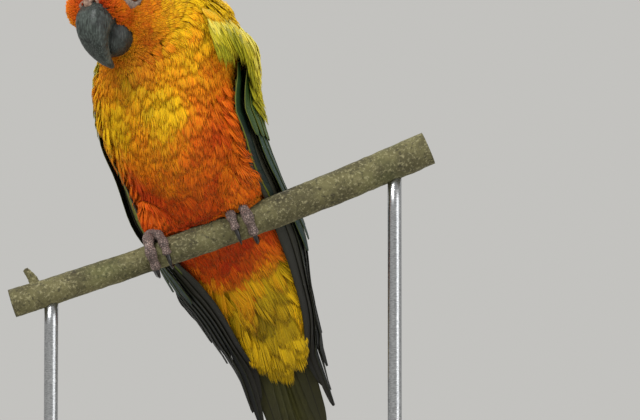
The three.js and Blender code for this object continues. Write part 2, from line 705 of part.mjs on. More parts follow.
function tailSolid() {
  const root = spineBlock(TAIL_START, TAIL_ROOT.end, TAIL_ROOT.halfWidth, TAIL_ROOT.low, TAIL_ROOT.high);
  const feathers = TAIL.lengths.flatMap((_, rank) => [1, -1].map((side) => tailFeather(side, rank)));
  return largest(unite([root, ...feathers]));
}

// The stand: a flat base with rounded corners and two rods up to the branch.
function baseSolid() {
  const { width, depth, thickness, corner, bevel, centre } = BASE;
  const [w, d] = [width / 2 - bevel, depth / 2 - bevel];
  const outline = new THREE.Shape();
  outline.moveTo(corner - w, -d).lineTo(w - corner, -d).quadraticCurveTo(w, -d, w, corner - d);
  outline.lineTo(w, d - corner).quadraticCurveTo(w, d, w - corner, d);
  outline.lineTo(corner - w, d).quadraticCurveTo(-w, d, -w, d - corner);
  outline.lineTo(-w, corner - d).quadraticCurveTo(-w, -d, corner - w, -d);
  const slab = new THREE.ExtrudeGeometry(outline, {
    depth: thickness - 2 * bevel,
    bevelThickness: bevel,
    bevelSize: bevel,
    bevelSegments: 1,
    curveSegments: 5,
  });
  const whole = fromGeometry(slab.translate(...centre, bevel - GRIP_HEIGHT));
  return largest(cut(whole, ...Object.values(ROD_PLACES).map((x) => rodSolid(x, GAP))));
}

function rodSolid(x, offset) {
  const bottom = BASE.thickness - ROD_SEAT - GRIP_HEIGHT - offset;
  const top = branchCentre(x).z + offset;
  const rod = new THREE.CylinderGeometry(ROD_RADIUS + offset, ROD_RADIUS + offset, top - bottom, 16);
  return fromGeometry(rod.rotateX(Math.PI / 2).translate(x, 0, (top + bottom) / 2));
}

// Colours and finishes.
const finish = (color, roughness, metalness = 0) =>
  new THREE.MeshStandardMaterial({ color, roughness, metalness });
const LOOKS = {
  facePlumage: finish("#e8902a", 0.8),
  neckPlumage: finish("#e5a52c", 0.8),
  breastPlumage: finish("#e07a22", 0.8),
  rumpPlumage: finish("#b98f35", 0.8),
  wingPlumage: finish("#c9c047", 0.75),
  tailPlumage: finish("#4c5233", 0.7),
  legPlumage: finish("#d8852a", 0.8),
  bill: finish("#2c2b2d", 0.4),
  eye: finish("#16100c", 0.08),
  footSkin: finish("#7d6c67", 0.65),
  claw: finish("#29211e", 0.3),
  bark: finish("#6d6655", 0.9),
  base: finish("#3c2a1e", 0.5),
  steel: finish("#a9abad", 0.35, 1),
};

// Each corner's neighbours.
function neighboursOf(faces) {
  const near = new Map();
  for (const face of faces) {
    for (const a of face) {
      if (!near.has(a)) near.set(a, new Set());
      for (const b of face) if (b !== a) near.get(a).add(b);
    }
  }
  return near;
}

// Closes the very short edges that cuts leave, wherever the surface stays whole.
function withoutShortEdges(positions, faces) {
  const corner = (a) => new THREE.Vector3().fromArray(positions, a * 3);
  const near = neighboursOf(faces);
  const touched = new Set();
  const into = new Map();
  for (const face of faces) {
    for (let k = 0; k < 3; k++) {
      const [a, b] = [face[k], face[(k + 1) % 3]];
      if (touched.has(a) || touched.has(b) || corner(a).distanceTo(corner(b)) > SHORTEST_EDGE) continue;
      const shared = [...near.get(a)].filter((c) => near.get(b).has(c));
      if (shared.length !== 2) continue;
      into.set(b, a);
      for (const c of [a, b, ...near.get(a), ...near.get(b)]) touched.add(c);
    }
  }
  if (into.size === 0) return faces;
  const moved = faces.map((face) => face.map((a) => into.get(a) ?? a));
  return withoutShortEdges(positions, moved.filter(([a, b, c]) => a !== b && b !== c && c !== a));
}

// Turns the long edge of each needle-thin face, so that no face is left with its corners in one line.
function withoutNeedles(positions, faces) {
  const corner = (a) => new THREE.Vector3().fromArray(positions, a * 3);
  const lengths = (face) => face.map((a, k) => corner(a).distanceTo(corner(face[(k + 1) % 3])));
  const area = (face) => new THREE.Triangle(...face.map(corner)).getArea();
  const height = (face) => (2 * area(face)) / Math.max(...lengths(face));
  const owner = new Map();
  faces.forEach((face, i) => face.forEach((a, k) => owner.set(`${a} ${face[(k + 1) % 3]}`, i)));
  const turned = [...faces];
  const done = new Set();
  faces.forEach((face, i) => {
    if (done.has(i) || height(face) > NEEDLE_HEIGHT) return;
    const long = lengths(face).indexOf(Math.max(...lengths(face)));
    const [a, b, c] = [0, 1, 2].map((k) => face[(long + k) % 3]);
    const j = owner.get(`${b} ${a}`);
    const d = faces[j].find((p) => p !== a && p !== b);
    if (done.has(j) || owner.has(`${c} ${d}`) || owner.has(`${d} ${c}`)) return;
    turned[i] = [a, d, c];
    turned[j] = [d, b, c];
    owner.set(`${c} ${d}`, j);
    done.add(i).add(j);
  });
  return turned;
}

// The faces with the largest first, so that whatever joins them starts from well-shaped ones.
function bySize(positions, faces) {
  const corner = (a) => new THREE.Vector3().fromArray(positions, a * 3);
  const sized = faces.map((face) => ({ face, area: new THREE.Triangle(...face.map(corner)).getArea() }));
  return sized.sort((p, q) => q.area - p.area).map(({ face }) => face);
}

function meshOf(name, solid, look) {
  const { vertProperties, triVerts } = solid.getMesh();
  const corners = Array.from(triVerts);
  const faces = Array.from({ length: corners.length / 3 }, (_, i) => corners.slice(3 * i, 3 * i + 3));
  const geometry = new THREE.BufferGeometry();
  geometry.setAttribute("position", new THREE.BufferAttribute(vertProperties, 3));
  const clean = withoutNeedles(vertProperties, withoutShortEdges(vertProperties, faces));
  geometry.setIndex(bySize(vertProperties, clean).flat());
  geometry.computeVertexNormals();
  const mesh = new THREE.Mesh(geometry, LOOKS[look]);
  mesh.name = name;
  return mesh;
}

function bodyMeshes() {
  const SIDES = ["left", "right"];
  const trunk = trunkSolid(0);
  const hull = hullSolid(GAP * 1.5);
  const torso = cut(partBetween(trunk, CHEST_CUT, RUMP_CUT, GAP), branchSolid(GAP), ...SIDES.map(footRoom));
  return [
    meshOf("head", headSolid(), "facePlumage"),
    meshOf("neck", largest(partBetween(trunk, NECK_CUT, CHEST_CUT, GAP)), "neckPlumage"),
    meshOf("torso", largest(torso), "breastPlumage"),
    meshOf("rump", largest(cut(partBetween(trunk, RUMP_CUT, null, GAP), tailSlot())), "rumpPlumage"),
    meshOf("tail", tailSolid(), "tailPlumage"),
    meshOf("bill_upper", upperBill(), "bill"),
    meshOf("bill_lower", lowerBill(), "bill"),
    ...SIDES.flatMap((side) => [
      meshOf(`eye_${side}`, eyeSolid(WINGS[side].side, 0), "eye"),
      meshOf(`wing_${side}`, wingSolid(side, hull), "wingPlumage"),
      meshOf(`leg_${side}`, legSolid(side, hull), "legPlumage"),
      meshOf(`foot_${side}`, footSolid(side), "footSkin"),
      ...TOES.map((toe) => {
        const claw = largest(cut(clawSolid(side, toe, 0), branchSolid(GAP * 0.8)));
        return meshOf(`claw_${side}_${toe.name}`, claw, "claw");
      }),
    ]),
  ];
}

function standMeshes() {
  return [
    meshOf("perch", perchSolid(), "bark"),
    meshOf("stand_base", baseSolid(), "base"),
    ...Object.entries(ROD_PLACES).map(([side, x]) => meshOf(`stand_rod_${side}`, rodSolid(x, 0), "steel")),
  ];
}

const display = new THREE.Group();
display.position.z = GRIP_HEIGHT;
display.add(...bodyMeshes(), ...standMeshes());

export default display;
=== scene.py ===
# Looks of a sun conure on a display stand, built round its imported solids.
# Shapes are worked out in the grip frame: millimetres, its origin on the branch between the feet,
# +Z up, the breast towards -Y and the bird's left towards +X. They become metres in to_world.
from collections import namedtuple
import bpy
import bmesh
import numpy as np
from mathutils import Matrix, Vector


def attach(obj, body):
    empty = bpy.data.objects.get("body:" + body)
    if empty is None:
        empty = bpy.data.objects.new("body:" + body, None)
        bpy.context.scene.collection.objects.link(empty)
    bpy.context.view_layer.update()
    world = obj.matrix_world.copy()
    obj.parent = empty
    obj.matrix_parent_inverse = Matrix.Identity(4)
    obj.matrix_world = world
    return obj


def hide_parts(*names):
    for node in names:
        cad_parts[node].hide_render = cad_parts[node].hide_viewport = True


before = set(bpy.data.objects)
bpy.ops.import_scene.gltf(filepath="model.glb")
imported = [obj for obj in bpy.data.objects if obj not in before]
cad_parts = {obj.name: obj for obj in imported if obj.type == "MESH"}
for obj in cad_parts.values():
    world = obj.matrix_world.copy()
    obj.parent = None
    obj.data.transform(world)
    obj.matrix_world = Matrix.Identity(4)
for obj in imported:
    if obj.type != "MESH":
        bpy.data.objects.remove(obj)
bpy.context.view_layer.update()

GRIP_HEIGHT = 172.0
MM = 0.001


def to_world(points):
    return (np.asarray(points, float) + (0, 0, GRIP_HEIGHT)) * MM


# Small helpers.
def unit(v):
    return v / np.maximum(np.linalg.norm(v, axis=-1, keepdims=True), 1e-12)


def mix(a, b, x):
    return a + (b - a) * x


def ease(x, start=0.0, length=1.0):
    """Runs smoothly from 0 to 1 while x goes from start through length."""
    x = np.clip((x - start) / length, 0, 1)
    return x * x * (3 - 2 * x)


def deep(v):
    """One value for each feather, to be spread over its strands and their points."""
    return v[:, None, None]


def turns(sides):
    return np.linspace(0, 2 * np.pi, sides, endpoint=False)


def dot(a, b):
    return (a * b).sum(-1)


def along(values, x):
    return np.interp(x, np.arange(len(values)), values)


def axes_of(up, forward):
    """Unit axes to the bird's left, forward and up, as the rows of a matrix."""
    z = unit(np.asarray(up, float))
    x = unit(np.cross(z, np.broadcast_to(forward, z.shape)))
    return np.stack([x, np.cross(x, z), z], -2)


def value_noise(points, size, seed):
    """Smooth noise from -1 to 1 whose lumps are about size across."""
    CELLS = 32
    lattice = np.random.default_rng(seed).random((CELLS, CELLS, CELLS)) * 2 - 1
    place = np.asarray(points, float) / size
    cell = np.floor(place).astype(int)
    part = ease(place - cell)
    total = 0
    for corner in np.ndindex(2, 2, 2):
        weight = np.prod(np.where(np.array(corner) == 1, part, 1 - part), axis=-1)
        index = (cell + corner) % CELLS
        total = total + weight * lattice[index[..., 0], index[..., 1], index[..., 2]]
    return total


# The plumage outline: rounded lumps that flow together, as (centre, axes, half sizes).
BLEND = 7
TRUNK_AXES = axes_of((-0.4, -0.39, 0.83), (-0.26, -0.966, 0))
NECK_AXES = axes_of((-0.05, -0.1, 1), (-0.45, -0.89, 0))
VENT_AXES = axes_of((-0.34, -0.36, 0.87), (-0.26, -0.966, 0))
HEAD_AXES = axes_of((-0.39, -0.29, 0.87), (-0.47, -0.75, -0.47))
HEAD = np.array([-36.0, -29, 91])


def in_head(left, forward, up):
    """A place measured from the point between the eyes."""
    return HEAD + np.array([left, forward, up], float) @ HEAD_AXES


NECK_LUMPS = [
    ((-11, -7, 69), NECK_AXES, (23.5, 21, 26)),
    ((-14, -8, 84), NECK_AXES, (19.5, 18, 18)),
    ((-27, -18, 86), NECK_AXES, (15.5, 15, 16)),
    ((-27, -17, 67), NECK_AXES, (12.5, 12, 14)),
]
TRUNK_LUMPS = [
    ((-9.5, -1, 43), TRUNK_AXES, (25.5, 26, 34)),
    ((-1, 11, 20), TRUNK_AXES, (25.5, 18.5, 29)),
    ((11.5, 23, 0), TRUNK_AXES, (23.5, 14.5, 29)),
    ((22, 26, -22), VENT_AXES, (15.5, 8, 27)),
]
HEAD_LUMPS = [
    (in_head(0, -6, 2.5), HEAD_AXES, (14, 16.5, 15.5)),
    (in_head(0, -4, -10.5), HEAD_AXES, (12.5, 10, 10)),
    (in_head(0, -13, -4), HEAD_AXES, (15.5, 13.5, 16)),
]
BODY = NECK_LUMPS + TRUNK_LUMPS


def field(lumps, points):
    """Roughly the distance from points to the outline, negative inside."""
    total = np.full(points.shape[:-1], 1e3)
    for centre, axes, size in lumps:
        offset = (points - np.array(centre, float)) @ axes.T
        near = np.linalg.norm(offset / size, axis=-1)
        slope = np.linalg.norm(offset / np.square(size), axis=-1)
        distance = near * (near - 1) / np.maximum(slope, 1e-6)
        overlap = np.maximum(BLEND - np.abs(total - distance), 0) / BLEND
        total = np.minimum(total, distance) - overlap**2 * BLEND / 4
    return total


def gradient(lumps, points):
    STEP = 0.05
    here = field(lumps, points)
    slopes = [(field(lumps, points + STEP * e) - here) / STEP for e in np.eye(3)]
    return here, np.stack(slopes, -1)


def settle(lumps, points, heights, rounds=2):
    """Moves points along the outline's slope to heights above it."""
    for _ in range(rounds):
        here, slope = gradient(lumps, points)
        size = np.maximum(dot(slope, slope), 0.09)
        points = points - slope * ((here - heights) / size)[..., None]
    return points


def reach_of(lumps, origins, directions, offset):
    """How far the outline reaches from points inside it along directions."""
    FARTHEST, STEP, HALVINGS = 54, 2.0, 12
    steps = np.arange(0, FARTHEST, STEP)
    places = origins[:, None] + directions[:, None] * steps[:, None]
    outside = field(lumps, places) >= offset
    first = np.where(outside.any(1), outside.argmax(1), len(steps) - 1)
    inner = steps[np.maximum(first - 1, 0)]
    outer = steps[first]
    for _ in range(HALVINGS):
        middle = (inner + outer) / 2
        out = field(lumps, origins + directions * middle[:, None]) >= offset
        outer = np.where(out, middle, outer)
        inner = np.where(out, inner, middle)
    return np.where(first == 0, 0, inner)


# The spine, from the top of the neck to the tip of the tail, one knot a station.
SPINE_KNOTS = np.array([
    (-14, -6, 112), (-14, -6.5, 92), (-12.5, -7, 72), (-10.5, -3, 50), (-5, 6, 28), (6, 18, 8),
    (17, 28, -12), (26, 37, -36), (37, 48, -68), (48, 62, -103), (58, 76, -136),
], float)
LAST_STATION = len(SPINE_KNOTS) - 1


def smooth_path(knots, place):
    """A smooth curve through knots, at places counted in knots."""
    knots = np.asarray(knots, float)
    padded = np.vstack([2 * knots[0] - knots[1], knots, 2 * knots[-1] - knots[-2]])
    place = np.clip(np.asarray(place, float), 0, len(knots) - 1)
    i = np.minimum(np.floor(place).astype(int), len(knots) - 2)
    w = (place - i)[..., None]
    p0, p1, p2, p3 = padded[i], padded[i + 1], padded[i + 2], padded[i + 3]
    d0, d1, d2 = [np.sqrt(np.linalg.norm(b - a, axis=-1, keepdims=True))
                  for a, b in ((p0, p1), (p1, p2), (p2, p3))]
    t1 = ((p1 - p0) / d0 - (p2 - p0) / (d0 + d1) + (p2 - p1) / d1) * d1
    t2 = ((p2 - p1) / d1 - (p3 - p1) / (d1 + d2) + (p3 - p2) / d2) * d1
    return p1 + t1 * w + (3 * (p2 - p1) - 2 * t1 - t2) * w**2 + (2 * (p1 - p2) + t1 + t2) * w**3


def station_at(station):
    """Origins and axes of the spine at stations."""
    station = np.clip(np.asarray(station, float), 0, LAST_STATION)
    ahead = smooth_path(SPINE_KNOTS, np.minimum(station + 0.001, LAST_STATION))
    behind = smooth_path(SPINE_KNOTS, np.maximum(station - 0.001, 0))
    axes = axes_of(behind - ahead, TRUNK_AXES[1])
    return smooth_path(SPINE_KNOTS, station), axes


def station_after(start, distance):
    stations = np.arange(start, LAST_STATION, 0.02)
    path = smooth_path(SPINE_KNOTS, stations)
    gone = np.concatenate([[0], np.cumsum(np.linalg.norm(np.diff(path, axis=0), axis=1))])
    return float(np.interp(distance, gone, stations))


def around_spine(points):
    """Station of each point and its angle round the spine: 0 is the breast, positive the bird's left."""
    stations = np.arange(0, LAST_STATION + 0.01, 0.05)
    path, axes = station_at(stations)
    nearest = np.concatenate([
        np.argmin(((some[:, None] - path) ** 2).sum(-1), axis=1)
        for some in np.array_split(points, max(1, len(points) // 4000))
    ])
    offset = points - path[nearest]
    left, forward = (dot(offset, axes[nearest, k]) for k in (0, 1))
    return stations[nearest], np.degrees(np.arctan2(left, forward))


# The branch rises to the bird's left and thickens that way.
BRANCH_FROM, BRANCH_TO = -74.0, 86.0
BRANCH_LIFT, BRANCH_RISE, BRANCH_BEND = 1.8, 0.37, 0.0004
BRANCH_RADII, RADII_FROM, RADII_STEP = (5.5, 5.2, 5.0, 5.7, 6.2, 6.3, 6.5), -75, 25
FOOT_PLACES = {"right": -17.5, "left": 14.5}
BARK_BUMP = 0.2
GAP = 0.32


def branch_centre(x):
    x = np.asarray(x, float)
    return np.stack([x, 0 * x, BRANCH_LIFT + BRANCH_RISE * x + BRANCH_BEND * x * x], -1)


def branch_radius(x):
    return along(BRANCH_RADII, (np.asarray(x, float) - RADII_FROM) / RADII_STEP)


def branch_run(x):
    return unit(branch_centre(np.asarray(x, float) + 1) - branch_centre(np.asarray(x, float) - 1))


def beside_branch(x, angle, height):
    """Beside the branch: 0 degrees is in front, 90 on top and 180 behind."""
    run = branch_run(x)
    up = np.stack([-run[..., 2], 0 * run[..., 0], run[..., 0]], -1)
    reach = branch_radius(x) + BARK_BUMP + np.asarray(height, float)
    turn = np.radians(angle)
    return branch_centre(x) + up * (np.sin(turn) * reach)[..., None] + np.stack(
        [0 * reach, -np.cos(turn) * reach, 0 * reach], -1)


def knee_of(side):
    inward = -1 if side == "left" else 1
    return beside_branch(FOOT_PLACES[side], 90, 0) + (1 + inward * 1.5, 0.5 + inward * 3.5, 8)


LEG_LUMPS = [(knee_of(side), TRUNK_AXES, (7.5, 7, 9)) for side in FOOT_PLACES]
FLUFF_LUMPS = [
    (in_head(6.6, 7.5, 0.5), HEAD_AXES, (4.6, 4.8, 6.0)),
    (in_head(-8.2, 9.2, -0.5), HEAD_AXES, (5.4, 4.0, 7.0)),
    ((-26.5, -12.5, 52), TRUNK_AXES, (12.6, 10.5, 16.0)),
]
COAT = HEAD_LUMPS + BODY + LEG_LUMPS + FLUFF_LUMPS


# Pieces. A batch collects points, triangles and values, and becomes one object.
def store(collection, key, values, kind=np.float32):
    collection.foreach_set(key, np.asarray(values, kind).ravel())


def loaded(collection, key, size, kind):
    flat = np.zeros(len(collection) * size, kind)
    collection.foreach_get(key, flat)
    return flat.reshape(-1, size)


def store_value(mesh, label, values):
    store(mesh.attributes.new(label, "FLOAT", "POINT").data, "value", values)


def store_map(mesh, uv):
    store(mesh.uv_layers.new(name="OFBake").data, "uv", uv)


def linked(name, data):
    thing = bpy.data.objects.new(name, data)
    bpy.context.scene.collection.objects.link(thing)
    return thing


def placed(name, mesh, material, replaces=()):
    piece = linked(name, mesh)
    piece.data.materials.append(material)
    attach(piece, "root")
    if replaces:
        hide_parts(*replaces)
    return piece


class Batch:
    def __init__(self):
        self.points, self.faces, self.values, self.uv = [], [], {}, []
        self.count = 0

    def add(self, points, faces, uv=None, **values):
        points = np.asarray(points, float).reshape(-1, 3)
        self.points.append(points)
        self.faces.append(np.asarray(faces, int).reshape(-1, 3) + self.count)
        self.count += len(points)
        for name, value in values.items():
            self.values.setdefault(name, []).append(np.broadcast_to(value, len(points)).astype(float))
        if uv is not None:
            self.uv.append(np.asarray(uv, float).reshape(-1, 2))
        return self

    def piece(self, name, material, slot, replaces=()):
        faces = np.concatenate(self.faces)
        mesh = bpy.data.meshes.new(name)
        mesh.vertices.add(self.count)
        mesh.loops.add(faces.size)
        mesh.polygons.add(len(faces))
        store(mesh.vertices, "co", to_world(np.concatenate(self.points)))
        store(mesh.loops, "vertex_index", faces, np.int32)
        store(mesh.polygons, "loop_start", np.arange(0, faces.size, 3), np.int32)
        store(mesh.polygons, "use_smooth", np.ones(len(faces)), bool)
        mesh.update(calc_edges=True)
        for label, parts in self.values.items():
            store_value(mesh, label, np.concatenate(parts))
        if self.uv:
            store_map(mesh, np.concatenate(self.uv)[faces])
        return placed(name, mesh, material, replaces)


def grid_faces(rows, columns, wrap=False):
    """Triangles of a grid of points; wrap joins the last column to the first."""
    r = np.arange(rows - 1)[:, None]
    c = np.arange(columns if wrap else columns - 1)[None, :]
    a = r * columns + c
    b = r * columns + (c + 1) % columns
    return np.stack([
        np.stack([a, b, b + columns], -1), np.stack([a, b + columns, a + columns], -1),
    ], 2).reshape(-1, 3)


def fan(apex, start, sides, turned=False):
    """Triangles from an apex to the ring of points from start; turned makes them face the other way."""
    here = start + np.arange(sides)
    after = start + (np.arange(sides) + 1) % sides
    return np.stack([np.full(sides, apex), *((after, here) if turned else (here, after))], 1)


def capped_faces(rows, sides):
    """Triangles of rings in a row, closed by the two points that follow them."""
    size = rows * sides
    return np.vstack([
        grid_faces(rows, sides, wrap=True),
        fan(size, 0, sides, turned=True),
        fan(size + 1, size - sides, sides),
    ])


def tube_mesh(path, across, widths, heights, sides, ends=0.5, square=0.0):
    """Points and triangles of a tube along a path; square gives corners to its lower side."""
    path = np.asarray(path, float)
    forward = unit(np.gradient(path, axis=0))
    side = unit(across - forward * dot(forward, np.asarray(across, float))[:, None])
    up = np.cross(forward, side)
    turn = turns(sides)
    power = 2 + square * np.clip(np.sin(turn), 0, 1)
    bulge = (np.abs(np.cos(turn)) ** power + np.abs(np.sin(turn)) ** power) ** (-1 / power)
    ring = (side[:, None] * (bulge * np.cos(turn))[:, None] * deep(np.asarray(widths))
            + up[:, None] * (bulge * np.sin(turn))[:, None] * deep(np.asarray(heights)))
    first = path[0] - forward[0] * heights[0] * ends
    last = path[-1] + forward[-1] * heights[-1] * ends
    points = np.vstack([(path[:, None] + ring).reshape(-1, 3), first, last])
    return points, capped_faces(len(path), sides)


def ball_mesh(centre, axes, size, rows=18, sides=32):
    polar = np.pi * np.arange(1, rows + 1) / (rows + 1)
    turn = turns(sides)
    flat = np.sin(polar)[:, None]
    local = np.stack([
        np.sin(turn) * flat, np.cos(turn) * flat, np.cos(polar)[:, None] + 0 * turn,
    ], -1) * size
    points = np.vstack([local.reshape(-1, 3), (0, 0, size[2]), (0, 0, -size[2])]) @ axes + centre
    return points, capped_faces(rows, sides)


def lathe_mesh(radius, height, sides):
    """A closed profile, as columns of radii and heights, turned round +Z."""
    turn = turns(sides)
    points = np.stack([radius * np.cos(turn), radius * np.sin(turn), height + 0 * turn], -1)
    here, after = np.arange(sides), (np.arange(sides) + 1) % sides
    last = (len(radius) - 1) * sides
    faces = np.vstack([
        grid_faces(len(radius), sides, wrap=True),
        np.stack([last + here, last + after, after], 1), np.stack([last + here, after, here], 1),
    ])
    return points.reshape(-1, 3), faces


# Materials.
def colour(code, alpha=1.0):
    """A linear colour from a screen colour such as #ff8000."""
    parts = [int(code[i:i + 2], 16) / 255 for i in (1, 3, 5)]
    return (*[p / 12.92 if p <= 0.04045 else ((p + 0.055) / 1.055) ** 2.4 for p in parts], alpha)


class Look:
    """A material and short ways to add nodes to it."""

    def __init__(self, name, roughness=0.5, **sockets):
        self.material = bpy.data.materials.new(name)
        self.material.use_nodes = True
        self.tree = self.material.node_tree
        self.shader = self.tree.nodes["Principled BSDF"]
        self.shader.inputs["Roughness"].default_value = roughness
        for socket, value in sockets.items():
            self.shader.inputs[socket.replace("_", " ")].default_value = value

    def node(self, kind, inputs=None, **settings):
        made = self.tree.nodes.new(kind)
        for key, value in settings.items():
            setattr(made, key, value)
        for key, value in (inputs or {}).items():
            self.put(value, made.inputs[key])
        return made

    def put(self, value, socket):
        if isinstance(value, bpy.types.NodeSocket):
            self.tree.links.new(value, socket)
        else:
            socket.default_value = value

    def value(self, name):
        return self.node("ShaderNodeAttribute", attribute_name=name).outputs["Fac"]

    def math(self, operation, a, b=0.0, c=0.0, clamp=False):
        made = self.node("ShaderNodeMath", operation=operation, use_clamp=clamp)
        for i, value in enumerate((a, b, c)):
            self.put(value, made.inputs[i])
        return made.outputs[0]

    def times(self, a, b, clamp=False):
        return self.math("MULTIPLY", a, b, clamp=clamp)

    def line(self, value, slope, start, clamp=False):
        return self.math("MULTIPLY_ADD", value, slope, start, clamp)

    def ramp(self, factor, *stops, smooth=True):
        made = self.node("ShaderNodeValToRGB", {"Fac": factor})
        bar = made.color_ramp
        bar.interpolation = "EASE" if smooth else "LINEAR"
        while len(bar.elements) < len(stops):
            bar.elements.new(0.5)
        for element, (place, code) in zip(bar.elements, stops):
            element.position = place
            element.color = colour(code)
        return made.outputs["Color"]

    def blend(self, factor, a, b, mode="MIX"):
        made = self.node("ShaderNodeMix", data_type="RGBA", blend_type=mode)
        self.put(factor, made.inputs[0])
        for i, value in ((6, a), (7, b)):
            self.put(colour(value) if isinstance(value, str) else value, made.inputs[i])
        return made.outputs[2]

    def brighten(self, paint, amount):
        return self.node("ShaderNodeHueSaturation", {"Color": paint, "Value": amount}).outputs["Color"]

    def noise(self, scale, detail=3.0, roughness=0.6, vector=None):
        inputs = {"Scale": scale, "Detail": detail, "Roughness": roughness}
        inputs["Vector"] = self.position() if vector is None else vector
        return self.node("ShaderNodeTexNoise", inputs).outputs["Fac"]

    def position(self, stretch=None):
        place = self.node("ShaderNodeTexCoord").outputs["Object"]
        if stretch is None:
            return place
        return self.node("ShaderNodeMapping", {"Vector": place, "Scale": stretch}).outputs["Vector"]

    def bump(self, height, strength, distance):
        made = self.node("ShaderNodeBump", {"Height": height, "Strength": strength, "Distance": distance})
        self.put(made.outputs["Normal"], self.shader.inputs["Normal"])

    def paint(self, paint):
        self.put(paint, self.shader.inputs["Base Color"])
        return self.material


WARM_STOPS = (
    (0.0, "#d8b20a"), (0.22, "#f2c10b"), (0.45, "#f29c08"), (0.65, "#e87205"), (0.85, "#d54c03"),
    (1.0, "#b92c02"),
)
LEMON_STOPS = (
    (0.0, "#5f7012"), (0.28, "#a29c16"), (0.5, "#d8c62a"), (0.72, "#ecdf66"), (0.86, "#ecc72c"),
    (1.0, "#e9a90b"),
)


def plumage_look(name, stops=WARM_STOPS):
    look = Look(name, roughness=0.68, Specular_IOR_Level=0.18, Sheen_Weight=0.15, Sheen_Roughness=0.5)
    look.shader.inputs["Sheen Tint"].default_value = colour("#ffd27a")
    warm = look.ramp(look.value("warm"), *stops, smooth=False)
    # The dark olive mixed in here is partly the feathers' real olive and partly painted shade, as at the
    # throat and under the tail.
    olive = look.blend(look.value("olive"), warm, "#4f4a08")
    fine = look.noise(1600, 2.0)
    tone = look.math("ADD", look.value("tone"), look.line(fine, 0.24, -0.12))
    look.bump(fine, 0.25, 0.0002)
    return look.paint(look.brighten(olive, tone))


BARB_SLANT = 0.06
BARBS_PER_MM = 16.0


def vane_look(name, root, tip, edge, under_root, under_tip, shaft="#1a1712", outer=None, outer_share=0.0):
    """A large feather: root to tip above, its own colours below, a shaft, pale edges and fine barbs."""
    look = Look(name, roughness=0.52, Specular_IOR_Level=0.3)
    reach, across = look.value("along"), look.value("across")
    cloud = look.line(look.noise(260, 4.0), 0.3, -0.15)
    place = look.math("ADD", reach, cloud)
    top = look.ramp(place, (0.05, root), (0.9, tip))
    if outer:
        web = look.line(across, -3.0, -0.2, clamp=True)
        top = look.blend(look.times(web, outer_share), top, outer)
    rim = look.line(look.math("ABSOLUTE", across), 9.0, -7.9, clamp=True)
    top = look.blend(look.times(rim, 0.85), top, edge)
    below = look.ramp(place, (0.05, under_root), (0.9, under_tip))
    both = look.blend(look.value("under"), top, below)
    spine = look.line(look.math("ABSOLUTE", across), -22.0, 1.5, clamp=True)
    both = look.blend(look.times(spine, 0.8), both, shaft)
    slant = look.line(look.math("ABSOLUTE", across), BARB_SLANT, look.times(reach, -1.0))
    barbs = look.math("SINE", look.times(slant, look.times(look.value("length"), BARBS_PER_MM)))
    grain = look.line(barbs, 0.045, look.value("tone"))
    look.bump(barbs, 0.35, 0.00012)
    return look.paint(look.brighten(both, grain))


# Where the colours lie on the plumage. Each patch is a place, how far it spreads, and what it adds to warmth
# and to olive; the olive is partly the feathers' real olive and partly painted shade, as at the throat and
# under the tail.
WARM_DOWN = (0.14, 0.15, 0.34, 0.54, 0.70, 0.80, 0.20, 0.04)
PATCHES = (
    ("red face", (-42, -44, 90), 15, 0.62, 0.0),
    ("left ear", in_head(15, -3, -4), 9, 0.30, 0.0),
    ("right ear", in_head(-15, -3, -4), 9, 0.30, 0.0),
    ("forehead", in_head(0, 6, 12), 11, 0.40, 0.0),
    ("cheek", in_head(9, 2, -16), 8, 0.14, 0.10),
    ("throat", (-31, -30, 66), 10, 0.10, 0.30),
    ("nape", (-2, -8, 90), 17, -0.12, 0.0),
    ("shoulder top", (2, -18, 70), 9, 0.10, 0.0),
    ("crown", in_head(3, -12, 10), 12, -0.06, 0.0),
    ("upper breast", (-15, -28, 53), 9, -0.36, 0.0),
    ("breast edge", (-34, -16, 48), 12, -0.36, 0.05),
    ("left breast", (4, -24, 48), 13, 0.26, 0.0),
    ("middle breast", (-14, -27, 34), 9, -0.06, 0.06),
    ("right flank", (-26, -8, 24), 8, 0.26, 0.0),
    ("belly", (-6, -6, 8), 14, 0.14, 0.0),
    ("left flank", (16, 0, 20), 8, -0.30, 0.22),
    ("vent", (8, 8, -4), 9, 0.24, 0.0),
    ("left vent", (22, 14, -8), 8, -0.30, 0.26),
    ("under tail", (20, 16, -24), 10, -0.08, 0.80),
    ("left of tail", (33, 22, -28), 7, -0.10, 0.12),
    ("end of tail coverts", (26, 26, -46), 12, -0.04, 0.30),
)


def marks(points):
    """How warm the plumage is at points, and how olive: real olive feathers, with painted shade at the
    throat and under the tail.
    """
    station, angle = around_spine(points)
    warm = along(WARM_DOWN, station)
    back = ease(np.abs(angle), 95, 40)
    warm = mix(warm, 0.2 + 0 * warm, back * 0.85)
    olive = 0.3 * back * ease(station, 4.5, 2.5)
    for _, centre, spread, add_warm, add_olive in PATCHES:
        near = np.exp(-((points - np.array(centre, float)) ** 2).sum(-1) / (2 * (0.72 * spread) ** 2))
        warm = warm + near * add_warm
        olive = olive + near * add_olive
    warm = warm + 0.13 * value_noise(points * (1, 1, 0.5), 6, 11) + 0.10 * value_noise(points, 2.2, 12)
    olive = olive + 0.08 * value_noise(points, 7, 13)
    return np.clip(warm, 0, 1), np.clip(olive, 0, 0.8)


def skin_uv(points):
    """Place on the unwrap of the skin: the head's own chart beside the body's."""
    station, angle = around_spine(points)
    body = np.stack([0.02 + 0.58 * (angle + 180) / 360, 0.02 + 0.96 * station / LAST_STATION], -1)
    offset = (points - in_head(0, -4, -3)) @ HEAD_AXES.T
    turn = np.degrees(np.arctan2(offset[..., 0], offset[..., 1]))
    polar = np.degrees(np.arccos(np.clip(offset[..., 2] / np.linalg.norm(offset, axis=-1), -1, 1)))
    head = np.stack([0.65 + 0.32 * (turn + 180) / 360, 0.02 + 0.96 * polar / 180], -1)
    return np.where(on_head(points)[..., None], head, body)


NECK_CUT = np.array([-24.0, -16, 82])
NECK_AWAY = unit(np.array([0.65, 0.52, -0.55]))


